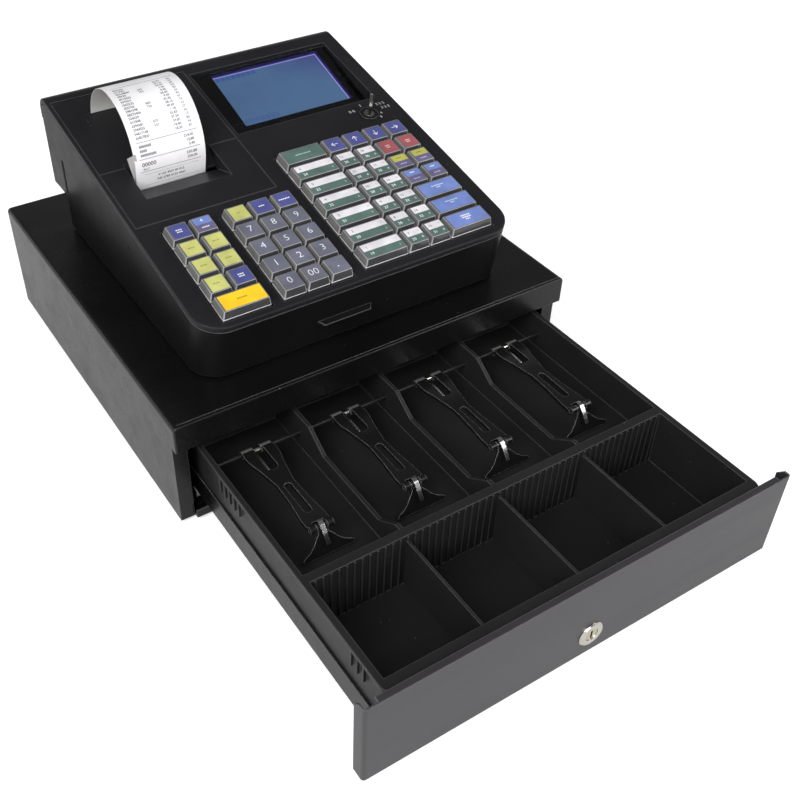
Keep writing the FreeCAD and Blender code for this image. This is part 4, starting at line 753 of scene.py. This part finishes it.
dress(clip_plastic, "mode_lock_barrel")
dress(chrome, "mode_key")
marks = Build()
ink_up = 0.04
for text, size, u, v in (("0 0", 4.4, 89.1, 190.2), ("1", 4.4, 99.8, 194.6),
                         ("2 2 2", 4.0, 117.0, 191.0), ("3 3 3", 4.0, 119.0, 185.6),
                         ("4", 3.4, 111.3, 179.8), ("5", 3.4, 108.5, 175.2)):
    flat, faces = text_shape(text, size, weight=0.12)
    marks.add(on_panel([(u + x, v + y, ink_up) for x, y in flat]), faces, (0.42, 0.42, 0.42))
ink = finish("panel_ink", None, 0.5, bump=0.000002, wear_and_highlight=0.0, dust=0.0, edge=0.0001)
settle(surface("mode_scale", marks.points, marks.faces, ink, marks.tints), "cabinet",
       "head_plastic")

# ------------------------------------------------------------------ inside the head
# Print mechanism in black plastic and the main board with its green solder mask.

board = finish("circuit_board", (0.01, 0.10, 0.04), 0.35, wear_and_highlight=0.0)
dress(till_plastic, "print_mechanism")
dress(board, "control_board")

# ------------------------------------------------------------------ keys
# Clear moulded caps, each snapped over a printed paper insert on a grey stem. Each cap's corners,
# crown and foot band are painted bright as highlights, and its sides are painted lighter on the
# left and darker at the front as shade.

clear_cap = finish("clear_cap", None, 0.16, grain_scale=240.0, bump=0.000006, edge=0.0002,
                   wear_and_highlight=0.0, dust=0.15, coat=0.35, mottle=60.0)
PITCH, CROWN = 19.05, 15.2
CORNER_HIGHLIGHT, CROWN_HIGHLIGHT = (0.34, 0.34, 0.345), (0.34, 0.34, 0.35)
FOOT_HIGHLIGHT, BORDER = (0.86, 0.86, 0.86), (0.15, 0.15, 0.155)
SIDE_SHADES = {"right": (0.085, 0.085, 0.088), "rear": (0.085, 0.085, 0.088),
         "left": (0.170, 0.170, 0.167), "front": (0.056, 0.056, 0.060)}
SLATE, BLUE, GREEN = (0.150, 0.156, 0.208), (0.085, 0.095, 0.300), (0.100, 0.172, 0.148)
LIME, AMBER, SKY = (0.585, 0.59, 0.19), (0.97, 0.61, 0.022), (0.18, 0.255, 0.585)
WHITE, RED, PURPLE = (0.80, 0.775, 0.81), (0.385, 0.105, 0.120), (0.145, 0.130, 0.26)
YELLOW, PRINT = (0.50, 0.485, 0.11), (0.80, 0.82, 0.86)

# Rings of a cap from its foot up: how far outside the crown, how high, corner radius, and the tint
# of the band above on its flats and on its corners, some of them painted highlights. None leaves
# each side its own painted shade.
RINGS = ((1.45, -1.40, 0.9, None, BORDER), (1.45, 0.35, 0.9, FOOT_HIGHLIGHT, FOOT_HIGHLIGHT),
         (1.38, 0.95, 0.9, None, CORNER_HIGHLIGHT), (0.16, 6.75, 0.6, CROWN_HIGHLIGHT, CROWN_HIGHLIGHT),
         (0.02, 7.08, 0.6, CROWN_HIGHLIGHT, CROWN_HIGHLIGHT), (-0.18, 7.20, 0.55, BORDER, BORDER))
CORNER = 4
INSERT_LEFT, INSERT_RIGHT, INSERT_FRONT, INSERT_REAR = 1.5, 0.6, 0.55, 0.9
STEM_HALF, STEM_FOOT, STEM_HEAD = 3.5, -10.4, -1.4
TOP = RINGS[-1][1]
PRINT_TOP = TOP + 0.03


def cap_ring(half_x, half_y, radius):
    """Outline of a cap at one height: round corners, and the middle of the left and right."""
    loop = []
    for corner, (sx, sy) in enumerate(((1, -1), (1, 1), (-1, 1), (-1, -1))):
        if corner == 1:
            loop.append((half_x, 0.0))
        if corner == 3:
            loop.append((-half_x, 0.0))
        for step in range(CORNER + 1):
            turn = math.radians(90.0 * (corner - 1) + 90.0 * step / CORNER)
            loop.append((sx * (half_x - radius) + radius * math.cos(turn),
                         sy * (half_y - radius) + radius * math.sin(turn)))
    return loop


def add_cap(build, u, v, units, front, rear):
    """One cap with its stem: the top's front and rear halves each take an insert's colour."""
    half_x, half_y = (CROWN + (units - 1) * PITCH) / 2, CROWN / 2
    points, faces, tints = [], [], []
    for outside, up, radius, _, _ in RINGS:
        points += [(u + x, v + y, up) for x, y in cap_ring(half_x + outside, half_y + outside,
                                                           radius)]
    count = len(points) // len(RINGS)
    across, deep = (INSERT_LEFT - INSERT_RIGHT) / 2, (INSERT_FRONT - INSERT_REAR) / 2
    insert = cap_ring(half_x - (INSERT_LEFT + INSERT_RIGHT) / 2,
                      half_y - (INSERT_FRONT + INSERT_REAR) / 2, 0.3)
    points += [(u + across + x, v + deep + y, TOP) for x, y in insert]
    parts = []
    for before, after in (("", "right"), ("right", "rear"), ("", "left"), ("left", "front")):
        parts += ([before] if before else []) + ["corner"] * CORNER + [after]
    for level in range(len(RINGS)):
        for step in range(count):
            a, b = level * count + step, level * count + (step + 1) % count
            faces.append((a, b, b + count, a + count))
            flat, bent = RINGS[level][3:]
            part = parts[step]
            tints.append(bent if part == "corner" else flat or SIDE_SHADES[part])
    top = len(RINGS) * count
    right = CORNER + 1
    left = right + 1 + 2 * (CORNER + 1)
    faces.append(tuple(top + k for k in range(right, left + 1)))
    faces.append(tuple(top + k % count for k in range(left, count + right + 1)))
    tints += [rear, front]
    faces.append(tuple(reversed(range(count))))
    tints.append(BORDER)
    base = len(points)
    points += [(u + x * STEM_HALF, v + y * STEM_HALF, z) for z in (STEM_FOOT, STEM_HEAD)
               for x, y in ((-1, -1), (1, -1), (1, 1), (-1, 1))]
    faces.append(tuple(base + k for k in (3, 2, 1, 0)))
    faces += [(base + k, base + (k + 1) % 4, base + 4 + (k + 1) % 4, base + 4 + k)
              for k in range(4)]
    tints += [SIDE_SHADES["rear"]] * 5
    build.add(on_panel(points), faces, tints)


def add_print(build, text, u, v, size, tint):
    """Plain figures on a cap's insert: large ones are drawn thinner, small ones bolder."""
    flat, faces = text_shape(text, size, weight=-0.08 if size > 6.0 else 0.06)
    build.add(on_panel([(u + x, v + y, PRINT_TOP) for x, y in flat]), faces, tint)


def add_dashes(build, u, v, pattern, tint):
    """Rows of short blocks in the place of a word: each number is a block's width."""
    gap, half, row_gap = 0.35, 0.6, 2.1
    for row, widths in enumerate(pattern):
        start = u - (sum(widths) + gap * (len(widths) - 1)) / 2
        deep = v - row_gap * (row - (len(pattern) - 1) / 2)
        for width in widths:
            corners = [(start, deep - half), (start + width, deep - half),
                       (start + width, deep + half), (start, deep + half)]
            build.add(on_panel([(x, y, PRINT_TOP) for x, y in corners]), [(0, 1, 2, 3)], tint)
            start += width + gap


def add_arrow(build, u, v, quarter, tint):
    """An arrow that points right, turned by quarters."""
    shape = [(-3.0, -0.3), (2.0, -0.3), (2.0, 0.3), (-3.0, 0.3),
             (0.5, 2.3), (0.0, 1.8), (2.0, 0.0), (0.0, -1.8), (0.5, -2.3), (3.0, 0.0)]
    turn = math.radians(90.0 * quarter)
    placed = [(u + x * math.cos(turn) - y * math.sin(turn),
               v + x * math.sin(turn) + y * math.cos(turn), PRINT_TOP) for x, y in shape]
    build.add(on_panel(placed), [(0, 1, 2, 3), (5, 6, 9, 4), (7, 8, 9, 6)], tint)


def finish_bank(build, node, body, slot):
    """Puts a bank of caps in the place of its CAD node."""
    piece = surface(f"{node}_caps", build.points, build.faces, clear_cap, build.tints, crease=30.0)
    settle(piece, body, slot, node)


# Middles of each group's first column across the panel, and of the lowest rows up it.
LEFT, DIGITS, BLOCK = -105.3, -58.3, 19.3
ROW, BLOCK_ROW = 34.9, 37.3
digit_names = (("0", "double_zero", "decimal"), ("1", "2", "3"), ("4", "5", "6"),
               ("7", "8", "9"))
for row, names in enumerate(digit_names):
    for column, name in enumerate(names):
        u, v = DIGITS + column * PITCH, ROW + row * PITCH
        keys = Build()
        add_cap(keys, u, v, 1, SLATE, SLATE)
        if name == "decimal":
            add_print(keys, ".", u, v + 1.0, 11.0, PRINT)
        else:
            add_print(keys, {"double_zero": "00"}.get(name, name), u, v + 0.4, 8.6, PRINT)
        finish_bank(keys, f"key_{name}", f"key_{name}", "digit_key")

keys = Build()
top = ROW + 4 * PITCH
words = (((1.3, 1.0), ), ((1.2, 1.6, 1.0), ), ((1.2, 1.6, 1.0, 1.4, 0.9, 1.2), ))
for column, (tint, pattern) in enumerate(zip((LIME, BLUE, BLUE), words)):
    u = DIGITS + column * PITCH
    add_cap(keys, u, top, 1, tint, tint)
    add_dashes(keys, u, top, pattern, PRINT if tint == BLUE else (0.36, 0.36, 0.10))
finish_bank(keys, "plu_keys", "plu_keys", "plu_key")

keys = Build()
add_cap(keys, LEFT + PITCH / 2, ROW, 2, AMBER, AMBER)
add_dashes(keys, LEFT + PITCH / 2, ROW, ((1.4, 0.8, 1.3, 1.5, 1.1), ), (0.45, 0.25, 0.02))
finish_bank(keys, "key_clear", "key_clear", "clear_key")

keys = Build()
left_tints = {(0, 1): (LIME, LIME), (1, 1): (BLUE, BLUE), (0, 2): (LIME, LIME),
              (1, 2): (LIME, LIME), (0, 3): (LIME, LIME), (1, 3): (LIME, LIME),
              (0, 4): (BLUE, BLUE), (1, 4): (PURPLE, SKY)}
for (column, row), (front, rear) in left_tints.items():
    u, v = LEFT + column * PITCH, ROW + row * PITCH
    add_cap(keys, u, v, 1, front, rear)
    dark = front in (BLUE, PURPLE)
    pattern = ((1.3, 1.5, 1.1), (1.4, 1.0, 1.2)) if dark else ((1.6, 1.2, 1.5), )
    if front == PURPLE:
        add_dashes(keys, u, v - 3.6, ((1.2, 1.0, 1.3, 1.1), ), PRINT)
        add_print(keys, "4", u, v + 3.6, 4.2, PRINT)
    else:
        add_dashes(keys, u, v, pattern, PRINT if dark else (0.34, 0.34, 0.09))
finish_bank(keys, "left_function_keys", "left_function_keys", "function_key")

keys = Build()
v = BLOCK_ROW + 6 * PITCH
add_cap(keys, BLOCK, v, 2, GREEN, GREEN)
add_dashes(keys, BLOCK, v, ((1.5, 1.2, 1.4, 1.0, 0.2, 1.5, 1.3, 1.0, 1.2), ),
           (0.42, 0.55, 0.50))
for column, quarter in enumerate((2, 1, 3, 0)):
    u = BLOCK + (1.5 + column) * PITCH
    add_cap(keys, u, v, 1, BLUE, BLUE)
    add_arrow(keys, u, v, quarter, PRINT)
finish_bank(keys, "cursor_keys", "cursor_keys", "cursor_key")

keys = Build()
grey_ink = (0.25, 0.26, 0.26)
for row in range(6):
    v = BLOCK_ROW + row * PITCH
    add_cap(keys, BLOCK, v, 2, GREEN, WHITE)
    add_print(keys, str(row + 1), BLOCK - 11.6, v + 3.2, 3.4, grey_ink)
    add_print(keys, str(row + 19), BLOCK - 10.6, v - 3.7, 3.6, PRINT)
    add_print(keys, str(row + 1), BLOCK + 13.6, v + 3.2, 2.6, (0.55, 0.56, 0.55))
    add_print(keys, str(row + 1), BLOCK + 13.4, v - 3.7, 2.8, (0.45, 0.52, 0.48))
    for column, first in ((1.5, 7), (2.5, 13)):
        u = BLOCK + column * PITCH
        add_cap(keys, u, v, 1, GREEN, WHITE)
        add_print(keys, str(first + row), u - 3.2, v + 3.2, 3.2, grey_ink)
        add_print(keys, str(first + row + 18), u - 2.6, v - 3.7, 3.6, PRINT)
        add_print(keys, str(row), u + 4.8, v - 3.7, 2.8, PRINT)
        add_print(keys, str(row), u + 4.8, v + 3.4, 2.4, (0.5, 0.5, 0.5))
finish_bank(keys, "department_keys", "department_keys", "department_key")

keys = Build()
for row, front, rear in ((5, RED, RED), (4, PURPLE, YELLOW), (3, PURPLE, SKY)):
    for column in (3.5, 4.5):
        u, v = BLOCK + column * PITCH, BLOCK_ROW + row * PITCH
        add_cap(keys, u, v, 1, front, rear)
        if row == 5:
            add_dashes(keys, u, v, ((1.3, 1.0, 0.9), (1.5, 1.2)), (0.75, 0.55, 0.55))
        else:
            back_ink = (0.22, 0.26, 0.02) if rear == YELLOW else PRINT
            add_dashes(keys, u, v + 3.6, ((1.2, 1.4, 0.9), ), back_ink)
            add_dashes(keys, u, v - 3.7, ((1.2, 0.9, 1.1, 1.3), ), (0.45, 0.42, 0.6))
for row in (1, 2):
    u, v = BLOCK + 4 * PITCH, BLOCK_ROW + row * PITCH
    add_cap(keys, u, v, 2, SKY, SKY)
    add_dashes(keys, u, v + 1.0, ((1.4, 1.2, 1.5, 1.2, 1.4, 0.9, 1.3), (1.0, 1.2, 0.9)),
               (0.55, 0.66, 0.85))
finish_bank(keys, "right_function_keys", "right_function_keys", "payment_key")

keys = Build()
add_cap(keys, BLOCK + 4 * PITCH, BLOCK_ROW, 2, SKY, SKY)
add_dashes(keys, BLOCK + 4 * PITCH, BLOCK_ROW + 0.6,
           ((1.4, 1.2, 1.5, 1.2, 1.4), (1.8, 1.6, 1.9, 1.5), (1.0, 1.2, 0.9)), PRINT)
finish_bank(keys, "total_key", "total_key", "payment_key")

# ------------------------------------------------------------------ floor, light and camera
# A pale floor, a soft key light from the upper left, weaker ones from the right and the front,
# and the camera above the left front corner.

reach = 6.0
floor = surface("floor", [(-reach, -reach, 0), (reach, -reach, 0), (reach, reach, 0),
                          (-reach, reach, 0)], [(0, 1, 2, 3)], None)
# The floor is plain white to light that bounces off it. It glows to the camera, and slightly in
# mirrors and through clear pieces.
floor_white = bpy.data.materials.new("floor_white")
floor_white.use_nodes = True
tree = floor_white.node_tree
tree.nodes.clear()
matt = wire(tree, "BsdfDiffuse", {"Color": (0.80, 0.80, 0.80, 1.0)})
ray = wire(tree, "LightPath")
lift = sums(tree, "MULTIPLY_ADD", ray.outputs["Is Camera Ray"], 0.45, 0.08)
glow = wire(tree, "Emission", {"Color": (1.0, 1.0, 1.0, 1.0), "Strength": lift})
seen = either(tree, ray.outputs["Is Camera Ray"],
              either(tree, ray.outputs["Is Glossy Ray"], ray.outputs["Is Transmission Ray"]))
lit = wire(tree, "AddShader", {0: matt.outputs[0], 1: glow.outputs[0]})
both = wire(tree, "MixShader", {0: seen, 1: matt.outputs[0], 2: lit.outputs[0]})
wire(tree, "OutputMaterial", {"Surface": both.outputs[0]})
floor.data.materials[0] = floor_white

# The surroundings: white to the camera, a soft grey to matt surfaces, and a band that darkens
# upwards in what mirrors them.
world = bpy.data.worlds.new("studio")
bpy.context.scene.world = world
world.use_nodes = True
tree = world.node_tree
tree.nodes.clear()
ray = wire(tree, "LightPath")
rising = wire(tree, "SeparateXYZ", {0: wire(tree, "TexCoord").outputs["Generated"]}).outputs["Z"]
band = ramped(tree, rising, 0.05, 0.5, 0.9, 0.10)
soft = wire(tree, "Background", {"Color": (1.0, 1.0, 1.0, 1.0), "Strength": 0.42})
mirrored = wire(tree, "Background", {"Color": (1.0, 1.0, 1.0, 1.0), "Strength": band})
white = wire(tree, "Background", {"Color": (1.0, 1.0, 1.0, 1.0), "Strength": 1.0})
shiny = either(tree, ray.outputs["Is Glossy Ray"], ray.outputs["Is Transmission Ray"])
first = wire(tree, "MixShader", {0: shiny, 1: soft.outputs[0], 2: mirrored.outputs[0]})
last = wire(tree, "MixShader", {0: ray.outputs["Is Camera Ray"], 1: first.outputs[0],
                                2: white.outputs[0]})
wire(tree, "OutputWorld", {"Surface": last.outputs[0]})


def lamp(name, place, aim, size, power):
    """A square soft box at a place, turned to face a point."""
    data = bpy.data.lights.new(name, "AREA")
    data.shape = "SQUARE"
    data.size = size
    data.energy = power
    made = bpy.data.objects.new(name, data)
    bpy.context.collection.objects.link(made)
    made.location = place
    back = np.array(place, float) - np.array(aim, float)
    back /= np.linalg.norm(back)
    side = np.cross((0, 0, 1), back)
    side /= np.linalg.norm(side)
    heading = Matrix(np.array([side, np.cross(back, side), back]).T.tolist())
    made.rotation_euler = heading.to_euler()


lamp("key_light", (-1.5, -0.9, 1.5), (0, 0, 0.1), 1.2, 34)
lamp("fill_light", (1.4, -1.2, 1.3), (0, 0, 0.1), 1.0, 13)
lamp("front_light", (-0.2, -2.2, 0.7), (0, 0, 0.1), 0.9, 12)

# The camera's heading is turned to the right of +y by yaw, down by pitch, and rolled.
yaw, pitch, roll = math.radians(32.760), math.radians(40.384), math.radians(0.561)
forward = np.array([math.sin(yaw) * math.cos(pitch), math.cos(yaw) * math.cos(pitch),
                    -math.sin(pitch)])
right = np.array([math.cos(yaw), -math.sin(yaw), 0.0])
up = np.cross(right, forward)
turned_right = math.cos(roll) * right + math.sin(roll) * up
turned_up = -math.sin(roll) * right + math.cos(roll) * up
view_data = bpy.data.cameras.new("camera")
camera = bpy.data.objects.new("camera", view_data)
bpy.context.collection.objects.link(camera)
bpy.context.scene.camera = camera
camera.location = (-0.3537, -0.55605, 0.5781)
camera.rotation_euler = Matrix(np.array([turned_right, turned_up, -forward]).T.tolist()).to_euler()
view_data.sensor_width = 36.0
view_data.lens = 48.2202
view_data.shift_x = 0.0585875
view_data.shift_y = -0.00835
view_data.clip_start = 0.02
view_data.clip_end = 50.0
bpy.context.scene.view_settings.view_transform = "Standard"
